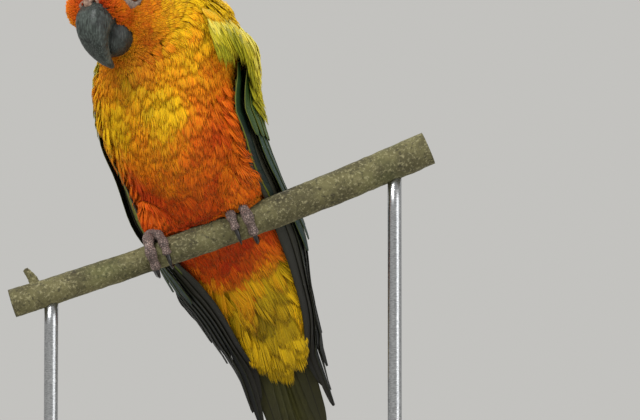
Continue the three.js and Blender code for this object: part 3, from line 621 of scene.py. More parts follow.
def on_head(points):
    return dot(points - NECK_CUT, NECK_AWAY) < 0


# The skin lies inside the plumage by the coat's depth.
SKIN_DEPTH = 1.7
# The skin shows only in the gaps between feathers, so its plumage colours are painted darker there as shade.
SKIN_SHADE_TONE = 0.72
VOXEL = 1.0


def applied(piece):
    """Applies a piece's modifiers and gives its new mesh."""
    evaluated = piece.evaluated_get(bpy.context.evaluated_depsgraph_get())
    made = bpy.data.meshes.new_from_object(evaluated)
    old = piece.data
    piece.modifiers.clear()
    piece.data = made
    bpy.data.meshes.remove(old)
    return made


def skin_piece():
    """One skin in place of all the flesh; gives its points and triangles."""
    batch = Batch()
    for centre, axes, size in COAT:
        batch.add(*ball_mesh(np.array(centre, float), axes, np.array(size, float) - SKIN_DEPTH))
    skin = batch.piece("skin", plumage_look("skin"), "plumage_breast",
                       ("head", "neck", "torso", "rump", "leg_left", "leg_right"))
    remesh = skin.modifiers.new("one skin", "REMESH")
    remesh.mode = "VOXEL"
    remesh.voxel_size = VOXEL * MM
    remesh.use_smooth_shade = True
    mesh = applied(skin)
    points = loaded(mesh.vertices, "co", 3, float) / MM - (0, 0, GRIP_HEIGHT)
    points = settle(COAT, points, -SKIN_DEPTH, 3)
    store(mesh.vertices, "co", to_world(points))
    warm, olive = marks(points)
    for label, value in (("warm", warm), ("olive", olive), ("tone", np.full(len(points), SKIN_SHADE_TONE))):
        store_value(mesh, label, value)
    store_map(mesh, skin_uv(points)[loaded(mesh.loops, "vertex_index", 1, np.int32)])
    mesh.update()
    mesh.calc_loop_triangles()
    return points, loaded(mesh.loop_triangles, "vertices", 3, np.int32)


# The bill, in the head's frame: forward of and above the point between the eyes; halves across and through.
UPPER_BILL = np.array([
    (3, -3, 5.6, 5.5), (9, -3, 6.7, 6.6), (13.2, -4.2, 6.7, 6.6), (16, -7.2, 6, 5.9),
    (17.4, -11.2, 4.8, 4.7), (17.3, -15.4, 3.4, 3.3), (16.2, -19.2, 2, 2.1), (14.6, -22.4, 0.8, 0.9),
])
LOWER_BILL = np.array([
    (-3, -8, 6.4, 7.6), (1.5, -11, 7.3, 9.0), (6, -13, 7.2, 8.6), (10.2, -14.6, 6.0, 6.4),
    (13.2, -15.4, 3.8, 3.8),
])
EYE_RADIUS, EYE_DEPTH, EYE_OUT, EYE_FORWARD, EYE_UP, EYE_LID = 4.6, 3.2, 10.7, 0.4, 0.3, 5.0


def bill_path(stations, count):
    place = np.linspace(0, len(stations) - 1, count)
    path = smooth_path([in_head(0, s[0], s[1]) for s in stations], place)
    return path, along(stations[:, 2], place), along(stations[:, 3], place)


def clear_of_bill(points):
    """Distance of points outside the bill, roughly."""
    nearest = np.full(len(points), 1e3)
    for stations in (UPPER_BILL, LOWER_BILL):
        path, wide, _ = bill_path(stations, 24)
        gap = np.linalg.norm(points[:, None] - path, axis=-1) - wide
        nearest = np.minimum(nearest, gap.min(1))
    return nearest


def eye_place(side, out):
    return in_head(side * out, EYE_FORWARD, EYE_UP)


def eye_axes(side):
    return axes_of(HEAD_AXES[0] * side, HEAD_AXES[1])


def clear_of_eyes(points):
    gaps = [np.linalg.norm(points - eye_place(side, EYE_OUT + 1), axis=-1) for side in (1, -1)]
    return np.minimum(*gaps) - (EYE_LID + 1.0)


# Wings. A place on one is a station down the spine, a distance round from its front edge and a height.
BACK_LINE = 176
FOLD_SHAPE = (0.3, 0.35, 0.52, 0.93, 1, 0.76, 0.6)
FOLD_BLEND = 5
WING_END, FIRST_ANGLE = 8.6, 20
STATION_STEP, ANGLE_STEP = 0.1, 2.0
TAIL_START = 6
TAIL_SPREAD, TAIL_WIDTH = 9, 8.8
TAIL_ROOT_LOW, TAIL_ROOT_HIGH, TAIL_ROOM = -5.2, 1.3, 0.8


class Wing:
    """A folded wing. At each station, lead is the angle of its front edge and wide its reach; facts are what
    the feathers of each side do differently."""

    def __init__(self, side, lead, wide, **facts):
        self.side, self.lead, self.facts = side, lead, facts
        self.stations = np.arange(0, WING_END + 0.01, STATION_STEP)
        self.angles = np.arange(FIRST_ANGLE, BACK_LINE + 1, ANGLE_STEP)
        station, angle = (a.ravel() for a in np.meshgrid(self.stations, self.angles, indexing="ij"))
        origins, axes = station_at(station)
        body = reach_of(BODY, origins, self.spoke(axes, angle), GAP * 2)
        fold = along(wide, station) * along(FOLD_SHAPE, angle / 30)
        soft = np.maximum(FOLD_BLEND - np.abs(body - fold), 0) ** 2 / (4 * FOLD_BLEND)
        reach = np.maximum(np.maximum(body, fold) + soft, self.tail_reach(station, angle))
        shape = (len(self.stations), len(self.angles))
        self.reach = reach.reshape(shape)
        points = (origins + self.spoke(axes, angle) * reach[:, None]).reshape(*shape, 3)
        steps = np.linalg.norm(np.diff(points, axis=1), axis=-1)
        self.gone = np.concatenate([np.zeros((shape[0], 1)), np.cumsum(steps, axis=1)], 1)

    def spoke(self, axes, angle):
        turn = np.radians(angle)[..., None]
        return axes[..., 1, :] * np.cos(turn) + axes[..., 0, :] * self.side * np.sin(turn)

    @staticmethod
    def tail_reach(station, angle):
        turn = np.radians(angle)
        across = (TAIL_SPREAD + TAIL_WIDTH / 2 + TAIL_ROOM) / np.maximum(np.sin(turn), 1e-6)
        room = np.where(np.cos(turn) > 0, TAIL_ROOM - TAIL_ROOT_LOW, TAIL_ROOM + TAIL_ROOT_HIGH)
        through = room / np.maximum(np.abs(np.cos(turn)), 1e-6)
        return np.where(station < TAIL_START - 0.4, 0, np.minimum(across, through))

    def rows(self, station):
        """The tables' rows at stations: distance gone round, and reach, for each angle."""
        row = np.clip(station / STATION_STEP, 0, len(self.stations) - 1.001)
        i = row.astype(int)
        part = (row - i)[:, None]
        return mix(self.gone[i], self.gone[i + 1], part), mix(self.reach[i], self.reach[i + 1], part)

    def place(self, station, distance, height):
        """Points on the wing, and their angles, from stations, distances past its front edge and heights."""
        shape = np.broadcast(station, distance, height).shape
        station, distance, height = (np.broadcast_to(v, shape).ravel() for v in (station, distance, height))
        gone, reach = self.rows(station)
        n = np.arange(len(station))
        first = (along(self.lead, station) - FIRST_ANGLE) / ANGLE_STEP
        j = first.astype(int)
        target = mix(gone[n, j], gone[n, j + 1], first - j) + distance
        j = np.clip((gone < target[:, None]).sum(1), 1, gone.shape[1] - 1)
        part = np.clip((target - gone[n, j - 1]) / (gone[n, j] - gone[n, j - 1]), 0, 1)
        angle = self.angles[j - 1] + ANGLE_STEP * part
        far = mix(reach[n, j - 1], reach[n, j], part) + height
        origin, axes = station_at(station)
        points = origin + self.spoke(axes, angle) * far[:, None]
        return points.reshape(*shape, 3), angle.reshape(shape)


WINGS = {
    "left": Wing(
        1, (80, 79, 73, 62, 68, 70, 62, 56, 56, 56, 56), (10, 10, 10, 12, 18, 21, 20, 18, 17, 15, 15),
        over_edge=3, chest_from=2.2, covert_front=5.2, edge_front=3.0, soft_past=10, soft_front=0.85,
        edge_colours=("#24461c", "#10201a", "#7f8426", "#5e5c22", "#2e2d1a"),
    ),
    "right": Wing(
        -1, (84, 83, 79, 74, 72, 62, 48, 45, 48, 52, 52), (10, 10, 10, 12, 18, 27, 29.5, 22, 16.5, 14, 14),
        over_edge=12, chest_from=1.5, covert_front=1.6, edge_front=2.0, soft_past=-1, soft_front=0.1,
        edge_colours=("#6f701a", "#5c6a1c", "#b9ad34", "#6b6622", "#4f4c1c"),
    ),
}
HIDDEN_ROUND, HIDDEN_STATIONS = (3.6, 35.0), (2.1, 5.2)


def under_wing(points):
    """True where a wing hides the plumage."""
    station, angle = around_spine(points)
    hidden = np.zeros(len(points), bool)
    for wing in WINGS.values():
        inner, outer = (wing.place(station, distance, 0.0)[1] for distance in HIDDEN_ROUND)
        covered = (np.abs(angle) > inner) & (np.abs(angle) < outer) & (np.sign(angle) == wing.side)
        hidden |= covered & (station > HIDDEN_STATIONS[0]) & (station < HIDDEN_STATIONS[1])
    return hidden


def over_wing(points):
    """From 0 to 1 where body feathers run over a wing's front edge, and which way is outward."""
    station, angle = around_spine(points)
    _, axes = station_at(station)
    over = np.zeros(len(points))
    for wing in WINGS.values():
        before = along(wing.lead, station) - np.abs(angle)
        near = ease(before, -wing.facts["over_edge"], 8) * (1 - ease(before, 4, 14))
        chest = ease(station, wing.facts["chest_from"], 0.4) * (1 - ease(station, 3.4, 0.8))
        flank = 0.45 * ease(station, 4.9, 0.4) * ease(before, -2, 4)
        over = np.where(np.sign(angle) == wing.side, near * (chest + flank), over)
    turn = np.radians(angle)[:, None]
    outward = (axes[:, 0] * np.cos(turn) - axes[:, 1] * np.sin(turn)) * np.sign(angle)[:, None]
    return over, outward


def cape(points):
    """From 0 to 1 where neck feathers lie over the upper edge of the shoulders."""
    station, angle = around_spine(points)
    return ease(np.abs(angle), 48, 22) * ease(station, 0.75, 0.3) * (1 - ease(station, 1.45, 0.3))


# The coat: feathers set on the skin, each a fan of fine locks that overlap and part at their tips.
# A lock is a closed three-sided blade: three rows of two sides and a ridge, and a tip.
# Its points' shares of the length, sides, ridge, widths and lift:
LOCK_SHARE = np.append(np.repeat([0, 0.42, 0.76], 3), 1.0)
LOCK_SIDE = np.append(np.tile([-1, 1, 0], 3), 0.0)
LOCK_TOP = np.append(np.tile([0, 0, 1], 3), 0.0)
LOCK_WIDE = np.append(np.repeat([0.9, 1, 0.66], 3), 0.0)
LOCK_LIFT = np.append(np.repeat([0, 0.62, 0.92], 3), 1.0)
LOCK_SIDES = ((0, 1), (1, 2), (2, 0))
LOCK_FACES = np.array(
    [(r + a, r + b, r + 3 + b) for r in (0, 3) for a, b in LOCK_SIDES]
    + [(r + a, r + 3 + b, r + 3 + a) for r in (0, 3) for a, b in LOCK_SIDES]
    + [(6, 7, 9), (7, 8, 9), (8, 6, 9), (0, 2, 1)]
)
SUNK = -1.5
PATCH = 0.0015


def locks(length, width, lift, strands, rng):
    """Each lock's place across its feather, then its points' distances forward, sideways and up."""
    n = len(length)
    place = np.linspace(-1, 1, strands) + rng.normal(0, 0.35 / strands, (n, strands))
    reach = length[:, None] * (1 - 0.24 * place**2) * rng.uniform(0.88, 1.08, (n, strands))
    spread = 0.3 + 0.7 * ease(LOCK_SHARE, 0, 0.55)
    sideways = deep(width / 2) * place[..., None] * spread * (1 - 0.08 * LOCK_SHARE)
    sideways = sideways + LOCK_SIDE * deep(width / strands) * 0.78 * LOCK_WIDE
    tips = deep(lift) + rng.normal(0, 0.12, (n, strands, 1))
    up = SUNK + (tips - SUNK) * LOCK_LIFT - 0.1 * place[..., None] ** 2 + 0.22 * LOCK_TOP
    return place, reach[..., None] * LOCK_SHARE, sideways, up


def from_core(points):
    """Distance from the middle of the head."""
    return np.linalg.norm(points - in_head(0, -6, -2), axis=-1)


def lie_at(points, normals):
    """Which way feathers lie: away from the bill on the head, then down the body."""
    station, _ = around_spine(points)
    _, axes = station_at(station)
    away = unit(points - in_head(0, 16, -6))
    headness = (1 - ease(from_core(points), 17, 16))[:, None]
    lie = headness * away + (1 - headness) * -axes[:, 2]
    return unit(lie - normals * dot(lie, normals)[:, None])


NEIGHBOURS = np.array(list(np.ndindex(3, 3, 3))) - 1


def spread_roots(points, faces, spacing, rng):
    """Random roots on the skin, no two closer than the spacing there."""
    TRIES, CLOSEST, CELL = 6, 0.86, 4.0
    corners = points[faces]
    sides = corners[:, 1:] - corners[:, :1]
    area = np.linalg.norm(np.cross(sides[:, 0], sides[:, 1]), axis=1) / 2
    need = spacing(corners.mean(1))
    weight = np.where(need > 0, area / np.maximum(need, 0.5) ** 2, 0)
    count = int(weight.sum() * TRIES)
    chosen = rng.choice(len(faces), count, p=weight / weight.sum())
    u, v = rng.random((2, count))
    flip = u + v > 1
    u, v = np.where(flip, 1 - u, u), np.where(flip, 1 - v, v)
    roots = corners[chosen, 0] + sides[chosen, 0] * u[:, None] + sides[chosen, 1] * v[:, None]
    apart = spacing(roots) * CLOSEST
    cells = {}
    kept = []
    for i, (root, far) in enumerate(zip(roots, apart)):
        if far <= 0:
            continue
        key = (root // CELL).astype(int)
        near = [cells.get(tuple(key + step), ()) for step in NEIGHBOURS]
        close = [k for cell in near for k in cell]
        if close and ((roots[close] - root) ** 2).sum(1).min() < far * far:
            continue
        cells.setdefault(tuple(key), []).append(i)
        kept.append(i)
    return roots[kept]


MOST_TRIANGLES = 195000
OVER_TURN, OVER_LIFT, CAPE_LIFT = 0.35, 3.0, 3.6


def cleared(length, roots, lies, normals, loose):
    """Feather lengths, cut back where a tip would reach an eye, the branch or round the body's edge."""
    for shorter in (0.8, 0.75, 0.7, 0.6, 0.6):
        tips = roots + lies * length[:, None]
        _, tip_slope = gradient(COAT, tips)
        turned = (dot(unit(tip_slope), normals) < 0.1) & (loose < 0.9)
        blocked = (clear_of_eyes(tips) < 0) | (clear_of_branch(tips) < 1.2) | turned
        length = np.where(blocked, length * shorter, length)
    return length


def coat(name, tract, look, roots, share, rng):
    """The feathers of one tract, in pieces that stay small enough; share scales each feather."""
    normals = unit(gradient(COAT, roots)[1])
    over, outward = over_wing(roots)
    lies = lie_at(roots, normals) + outward * (OVER_TURN * over)[:, None]
    lies = unit(lies + np.cross(normals, lies) * rng.normal(0, 0.13, len(roots))[:, None])
    sides = np.cross(normals, lies)
    station, _ = around_spine(roots)
    _, spine_axes = station_at(station)
    sideways_facing = np.abs(dot(normals, spine_axes[:, 0]))
    loose = ease(station, 6.4, 0.5) * mix(1, 0.35, ease(sideways_facing, 0.45, 0.4))
    length = tract.length * share * rng.uniform(0.85, 1.15, len(roots))
    length = length * mix(1, 0.5, ease(station, 6.5, 0.7))
    length = length * (1 - 0.5 * ease(station, 6.3, 0.6) * ease(sideways_facing, 0.1, 0.5))
    length = cleared(length, roots, lies, normals, loose)
    width = tract.width * mix(share, 1, 0.3)
    lift = tract.lift + OVER_LIFT * over + CAPE_LIFT * cape(roots) + rng.normal(0, tract.ruffle, len(roots))
    per_piece = MOST_TRIANGLES // (tract.strands * len(LOCK_FACES))
    groups = np.array_split(np.arange(len(roots)), max(1, -(-len(roots) // per_piece)))
    for number, group in enumerate(groups):
        place, forward, sideways, up = locks(length[group], width[group], lift[group], tract.strands, rng)
        root, lie, side, tailward, normal = (
            deep(v[group]) for v in (roots, lies, sides, -spine_axes[:, 2], normals))
        across = root + side * sideways[..., None]
        points = settle(COAT, (across + lie * forward[..., None]).reshape(-1, 3), up.reshape(-1), 3)
        straight = across + tailward * forward[..., None] + normal * (up + SKIN_DEPTH)[..., None]
        part = np.broadcast_to(deep(loose[group]), up.shape).reshape(-1, 1)
        points = mix(points, straight.reshape(-1, 3), part)
        batch = Batch()
        add_locks(batch, points, place, skin_uv(roots[group]), *marks(roots[group]), rng)
        label = name if len(groups) == 1 else f"{name}_{number + 1}"
        batch.piece(label, look, tract.slot)


def add_locks(batch, points, place, homes, warm, olive, rng, root_shade=0.2):
    """Adds feathers made of locks, with their colours, painted shade towards their roots, and their patches
    of the map.
    """
    n, strands = place.shape
    faces = LOCK_FACES + len(LOCK_SHARE) * deep(np.arange(n * strands))
    warm = deep(warm) + 0.16 * (LOCK_SHARE - 0.5) + rng.normal(0, 0.035, (n, strands, 1))
    own = rng.normal(0, 0.05, (n, 1, 1)) + rng.normal(0, 0.06, (n, strands, 1))
    # Each lock is painted darker towards its root and lighter towards its tip: painted shade where the
    # feathers above overlap the roots.
    tone = 0.97 + own + root_shade * (LOCK_SHARE - 0.75)
    olive = np.broadcast_to(deep(olive), tone.shape)
    u = deep(homes[:, 0]) + place[..., None] * PATCH + 0 * LOCK_SHARE
    v = deep(homes[:, 1]) + (LOCK_SHARE * 2 - 1) * PATCH + 0 * place[..., None]
    batch.add(points, faces, np.stack([u, v], -1), warm=np.clip(warm, 0, 1).ravel(),
              olive=olive.ravel(), tone=tone.ravel())


def clear_of_branch(points):
    """Distance of points outside the bark, roughly."""
    x = np.clip(points[:, 0], BRANCH_FROM, BRANCH_TO)
    for _ in range(2):
        run = branch_run(x)
        x = np.clip(x + dot(points - branch_centre(x), run) * run[:, 0], BRANCH_FROM, BRANCH_TO)
    return np.linalg.norm(points - branch_centre(x), axis=1) - branch_radius(x)


def region_of(points):
    """Names the feather tract of each root."""
    station, angle = around_spine(points)
    tract = np.where(station < 2.6, "neck", np.where(station < 4.2, "breast", "belly"))
    tract = np.where(station > 5.55, "rump", tract)
    tract = np.where((np.abs(angle) > 105) & (station > 1.6) & (station < 5.9), "back", tract)
    return np.where(on_head(points), "head", tract)


Tract = namedtuple("Tract", "slot length width strands spacing lift ruffle")
TRACTS = {
    "head": Tract("plumage_head", 5.2, 2.4, 6, 1.3, 0.0, 0.15),
    "neck": Tract("plumage_neck", 9.0, 3.4, 10, 1.85, 0.3, 0.3),
    "breast": Tract("plumage_breast", 11.0, 4.4, 12, 2.2, 0.4, 0.25),
    "belly": Tract("plumage_breast", 11.0, 4.6, 12, 2.3, 0.4, 0.25),
    "back": Tract("plumage_breast", 11.0, 5.2, 9, 3.0, 0.2, 0.2),
    "rump": Tract("plumage_rump", 19.0, 6.0, 13, 3.9, 0.8, 0.5),
}


def root_spacing(points):
    """How far apart roots are, or 0 where none grow."""
    region = region_of(points)
    space = np.select([region == name for name in TRACTS], [tract.spacing for tract in TRACTS.values()])
    bill = clear_of_bill(points)
    space = space * np.where(region == "head", mix(0.62, 1, ease(bill, 0, 10)), 1)
    return np.where((bill < -1.2) | (clear_of_eyes(points) < 0.2), 0, space)


def coat_pieces(skin_points, faces):
    rng = np.random.default_rng(5)
    look = plumage_look("plumage")
    roots = spread_roots(skin_points, faces, root_spacing, rng)
    roots = roots[~under_wing(roots)]
    region = region_of(roots)
    bill = clear_of_bill(roots)
    station, _ = around_spine(roots)
    core = from_core(roots)
    for name, tract in TRACTS.items():
        mine = np.flatnonzero(region == name)
        mine = mine[np.argsort(station[mine])]
        share = 0.38 + 0.62 * ease(bill[mine], 0, 12) if name == "head" else np.ones(len(mine))
        if name in ("head", "neck"):
            share = share * mix(5.2, 9.0, ease(core[mine], 17, 12)) / tract.length
        coat(f"plumage_{name}", tract, look, roots[mine], share, rng)


# Large feathers: thin closed vanes with a raised shaft.
def vane_faces(rows, columns):
    """Triangles of a closed sheet: an upper grid over a lower one, joined round the rim."""
    size = rows * columns
    top = grid_faces(rows, columns) + size
    low = grid_faces(rows, columns)[:, ::-1]
    rim = ([(0, c) for c in range(columns)] + [(r, columns - 1) for r in range(1, rows)]
           + [(rows - 1, c) for c in range(columns - 2, -1, -1)] + [(r, 0) for r in range(rows - 2, 0, -1)])
    flat = [r * columns + c for r, c in rim]
    wall = []
    for a, b in zip(flat, flat[1:] + flat[:1]):
        wall += [(a, b, b + size), (a, b + size, a + size)]
    return np.vstack([top, low, wall])


def feather_width(share, point):
    root = 0.55 + 0.45 * ease(share, 0, 0.3)
    taper = 1 - point * ease(share, 0.45, 0.55)
    rounding = np.sqrt(1 - 0.97 * np.clip((share - 0.84) / 0.16, 0, 1) ** 2)
    return root * taper * rounding


VANE, CAMBER, SHAFT_WIDTH = 0.34, 0.25, 0.09
TONES = (0.88, 1.1)


def vane_grid(rows, columns, crowding):
    """Shares of the length, closer together towards the tip, and places across."""
    return (1 - (1 - np.linspace(0, 1, rows)) ** crowding)[:, None], np.linspace(-1, 1, columns)[None]


def vane_thickness(share, across):
    return VANE * (1 - 0.3 * share) * (1 - 0.45 * np.abs(across))


def shaft_ridge(share, across, height):
    return height * np.exp(-((across / SHAFT_WIDTH) ** 2)) * (1 - 0.6 * share)


def add_vane(batch, cell, low, high, share, across, turned, dusky=0.0, **values):
    """Adds a feather from the grids of its lower and upper faces. Cell is its place on the map of feathers;
    dusky makes its upper face like its lower."""
    rows, columns = low.shape[:2]
    faces = vane_faces(rows, columns)
    share, across = (np.broadcast_to(v, (rows, columns)).ravel() for v in (share, across))
    batch.add(np.concatenate([low.reshape(-1, 3), high.reshape(-1, 3)]), faces[:, ::-1] if turned else faces,
              vane_uv(cell, across, share), along=np.tile(share, 2), across=np.tile(across, 2),
              under=np.repeat([1.0, dusky], rows * columns), **values)


def wing_vane(batch, wing, cell, root, tip, centre, width, height, tilt, point=0.2, dip=1.2,
              rows=22, columns=11, tone=1.0, bend=0.0, dusky=0.0):
    """One feather on a wing, from its root's station to its tip's."""
    share, across = vane_grid(rows, columns, 1.25)
    station = mix(root, tip, share)
    half = width / 2 * feather_width(share, point)
    rise = height - dip * (1 - ease(share, 0, 0.2)) - across * half * tilt(station)
    rise = rise + CAMBER * (1 - across**2) + shaft_ridge(share, across, 0.16)
    distance = centre(station) + across * half + bend * share**2
    thick = vane_thickness(share, across)
    low, _ = wing.place(station, distance, rise - 0.4 * thick)
    high, _ = wing.place(station, distance, rise + thick)
    add_vane(batch, cell, low, high, share, across, wing.side < 0, dusky, tone=tone,
             length=float(np.linalg.norm(low[0, 0] - low[-1, 0])))


def tier_piece(name, tier, batch, colours, replaces=(), **extras):
    """Makes one tier of a wing's feathers into a piece."""
    look = vane_look(f"{tier}_{name}", *colours, **extras)
    batch.piece(f"wing_{name}_{tier}", look, "plumage_wing", replaces)


ATLAS = 16


def vane_uv(cell, across, share):
    """Upper and lower faces get a slot each in a square map of feathers."""
    uv = []
    for k in (1, 0):
        column, row = divmod(2 * cell + k, ATLAS)
        u = (column + 0.5 + 0.4 * across) / ATLAS
        v = (row + 0.08 + 0.84 * share) / ATLAS
        uv.append(np.stack([u, v], -1))
    return np.concatenate(uv)


PRIMARY_TIPS = (7.6, 7.85, 7.85, 7.7, 7.45, 7.1, 6.8, 6.5, 6.25)
PRIMARY_SPACING = (3.2, 3.2, 3.2, 3.2, 3.2, 3, 2.6, 2.1, 1.8, 1.6, 1.6)
PRIMARY_PLACES = (0.9, 2.5, 3.5, 4.5, 5.5, 6.4, 7.3, 8.2, 9.1)
PRIMARY_BROAD = (5, 2, 0, 0, 0, 0, 0, 0, 0)
VANE_STEP = 0.95


def primaries(name, wing, rng):
    batch = Batch()
    for cell, (tip, place, broad) in enumerate(zip(PRIMARY_TIPS, PRIMARY_PLACES, PRIMARY_BROAD)):
        wing_vane(batch, wing, cell, 2.6, tip,
                  lambda station: place * along(PRIMARY_SPACING, station) + broad / 2, 9.4 + broad, 1.6,
                  lambda station: VANE_STEP / along(PRIMARY_SPACING, station) / (1 + broad / 3),
                  point=0.3, rows=40, tone=rng.uniform(*TONES), dusky=0.8 if cell < 2 else 0.3)
    colours = ("#1b2d12", "#14130f", "#30340f", "#3b382a", "#22201a")
    tier_piece(name, "primaries", batch, colours, (f"wing_{name}",), outer="#14222a", outer_share=0.35)


def secondaries(name, wing, rng):
    batch = Batch()
    COUNT = 11
    for cell in range(COUNT):
        share = cell / (COUNT - 1)
        tip = mix(5.9, 5.35, share) - 0.25 * np.sin(share * np.pi) + rng.normal(0, 0.03)
        wing_vane(batch, wing, cell, 2.6, tip,
                  lambda station: mix(9, 46, share) * mix(1, 0.88, ease(station, 3, 3)), 7.6, 4.2,
                  lambda station: 0.2, rows=30, tone=rng.uniform(*TONES))
    colours = ("#1f4114", "#142b19", "#56631a", "#353323", "#201e17")
    tier_piece(name, "secondaries", batch, colours, outer="#15363f", outer_share=0.4)


def greater_coverts(name, wing, rng):
    """Green feathers over the bases of the flight feathers."""
    batch = Batch()
    COUNT = 11
    for cell in range(COUNT):
        share = cell / (COUNT - 1)
        back = ease(share, 0, 0.4)
        tip = mix(3.5, 4.05, back) + rng.normal(0, 0.03)
        wing_vane(batch, wing, cell, mix(1.95, 2.4, back), tip, lambda station: mix(5, 45, share), 7.4,
                  mix(wing.facts["covert_front"], 5.2, back), lambda station: 0.18, rows=20,
                  tone=mix(0.7, 1.0, back) * rng.uniform(0.9, 1.1), bend=rng.normal(0, 0.3))
    colours = ("#34520f", "#48661a", "#8b8f26", "#5c5722", "#4a481e")
    tier_piece(name, "greater_coverts", batch, colours, outer="#22480f", outer_share=0.6, shaft="#3a4312")


def edge_feathers(name, wing, rng):
    """The narrow feathers down the wing's front edge."""
    batch = Batch()
    COUNT = 9
    for cell in range(COUNT):
        share = cell / (COUNT - 1)
        start = mix(2.2, 4.3, share)
        wing_vane(batch, wing, cell, start, start + mix(1.5, 1.0, share) * rng.uniform(0.92, 1.08),
                  lambda station: 1.6 + 0.9 * share + 0.5 * (station - 2) / 3, 5.6,
                  mix(wing.facts["edge_front"], 2.0, share), lambda station: 0.14,
                  rows=18, columns=9, dip=1.0, tone=rng.uniform(*TONES))
    tier_piece(name, "edge_feathers", batch, wing.facts["edge_colours"])


def staggered(rows, across):
    """The row and the place in it of each feather, with every other row shifted by half a place."""
    row, place = (v.ravel() for v in np.meshgrid(np.arange(rows), np.arange(across), indexing="ij"))
    return row, place, place + 0.5 * (row % 2)


def soft_coverts(name, wing, rng):
    """The overlapping soft feathers of the shoulder, in staggered rows like scales."""
    look = plumage_look(f"soft_coverts_{name}", LEMON_STOPS)
    STRANDS, ROWS, ACROSS, PER_STATION = 9, 15, 18, 21.5
    row, _, shifted = staggered(ROWS, ACROSS)
    up_share = row / (ROWS - 1)
    round_share = shifted / ACROSS
    n = len(row)
    past = wing.facts["soft_past"]
    lowest = mix(1.75, 3.0, ease(round_share, 0.01 * past, 0.32))
    start = mix(lowest, 1.32, up_share) + rng.normal(0, 0.025, n)
    distance = mix(-1 - past, 47, round_share) + rng.normal(0, 0.4, n)
    length = mix(11.0, 7.0, up_share) * rng.uniform(0.9, 1.12, n)
    width = mix(5.0, 3.6, up_share) * rng.uniform(0.92, 1.08, n)
    swell = ease(start, 1.2, 0.7) * mix(1, 0.72, ease(start, 2.1, 0.9))
    swell = swell * mix(wing.facts["soft_front"], 1, ease(distance, 0, 12))
    swell = swell * mix(1, 0.35, ease(round_share, 0.75, 0.25)) * mix(0.45, 1, ease(distance, -past, 10))
    lift = 1.2 + 7.2 * swell + rng.normal(0, 0.2, n)
    place, forward, sideways, up = locks(length, width, np.full(n, 0.7), STRANDS, rng)
    round_at = deep(distance) + sideways + 0.25 * forward
    points, _ = wing.place(deep(start) + forward / PER_STATION, round_at, deep(lift) + up)
    lemon = mix(0.25, 0.68, ease(up_share * 1.6)) + 0.3 * ease(up_share, 0.7, 0.3) + rng.normal(0, 0.05, n)
    homes = np.stack([0.06 + 0.88 * round_share, 0.05 + 0.9 * up_share], -1)
    batch = Batch()
    add_locks(batch, points.reshape(-1, 3), place, homes, lemon, np.zeros(n), rng, 0.5)
    batch.piece(f"wing_{name}_soft_coverts", look, "plumage_wing")


def mantle_feathers():
    """Soft golden feathers down the middle of the back, over the inner edges of the wings."""
    rng = np.random.default_rng(9)
    STRANDS, ROWS, ACROSS, PER_STATION = 10, 22, 6, 23.0
    wing = WINGS["left"]
    row, k, shifted = staggered(ROWS, ACROSS)
    down = 1 - row / (ROWS - 1)
    n = len(row)
    start = mix(1.25, 4.35, down) + rng.normal(0, 0.03, n)
    middle = (shifted / (ACROSS - 0.5) * 2 - 1) * mix(15, 4.0, down) + rng.normal(0, 0.3, n)
    rise = mix(8.4, 5.3, ease(down * 1.3)) + rng.normal(0, 0.25, n)
    length = 13 * rng.uniform(0.85, 1.12, n)
    place, forward, sideways, up = locks(length, np.full(n, 5.4), np.full(n, 0.4), STRANDS, rng)
    station = deep(start) + forward / PER_STATION
    across = deep(middle) + sideways
    height = deep(rise) + up - 0.02 * across**2
    _, row_reach = wing.rows(station.ravel())
    turn = across.ravel() / (row_reach[:, -1] + height.ravel())
    back = (BACK_LINE - np.degrees(np.abs(turn)) - FIRST_ANGLE) / ANGLE_STEP
    j = np.clip(back.astype(int), 0, len(wing.angles) - 2)
    at = np.arange(len(j))
    reach = mix(row_reach[at, j], row_reach[at, j + 1], back - j) + height.ravel()
    origin, axes = station_at(station.ravel())
    turn = turn[:, None]
    points = origin + (axes[:, 0] * np.sin(turn) - axes[:, 1] * np.cos(turn)) * reach[:, None]
    homes = np.stack([0.1 + 0.8 * k / ACROSS, 0.05 + 0.9 * down], -1)
    warm = 0.2 + 0.1 * down + rng.normal(0, 0.04, n)
    batch = Batch()
    add_locks(batch, points, place, homes, warm, np.full(n, 0.04), rng, 0.3)
    batch.piece("plumage_mantle", plumage_look("mantle"), "plumage_breast")


TAIL_LENGTHS = (135, 126, 114, 100, 84, 66)
TAIL_HEIGHT, TAIL_RANK = 0.4, 0.88


def tail_feathers():
    rng = np.random.default_rng(21)
    batch = Batch()
    share, across = vane_grid(44, 13, 1.3)
    start = station_after(TAIL_START, 6)
    for cell in range(2 * len(TAIL_LENGTHS)):
        rank, side = cell // 2, 1 - 2 * (cell % 2)
        end = station_after(TAIL_START, TAIL_LENGTHS[rank])
        origin, axes = station_at(mix(start, end, share[:, 0]))
        half = TAIL_WIDTH / 2 * feather_width(share, 0.35)
        centre = mix(0.35, 1, ease(share * 2.5)) * rank / 5 * TAIL_SPREAD
        left = side * (centre + across * half)
        rise = TAIL_HEIGHT - TAIL_RANK * (rank + 1 if cell else 0) + 0.12 * (1 - across**2)
        shaft = shaft_ridge(share, across, 0.2)
        low, high = (
            origin[:, None] + left[..., None] * axes[:, :1] - level[..., None] * axes[:, 1:2]
            for level in (rise - shaft, rise + vane_thickness(share, across) + 0.4 * shaft))
        add_vane(batch, cell, low, high, share, across, side > 0, tone=rng.uniform(*TONES),
                 length=TAIL_LENGTHS[rank])
    look = vane_look("tail_vanes", "#4c5a1c", "#1f3a4a", "#5f6328", "#5b5a22", "#33321a", shaft="#15130f")
    batch.piece("tail_feathers", look, "plumage_tail", ("tail",))


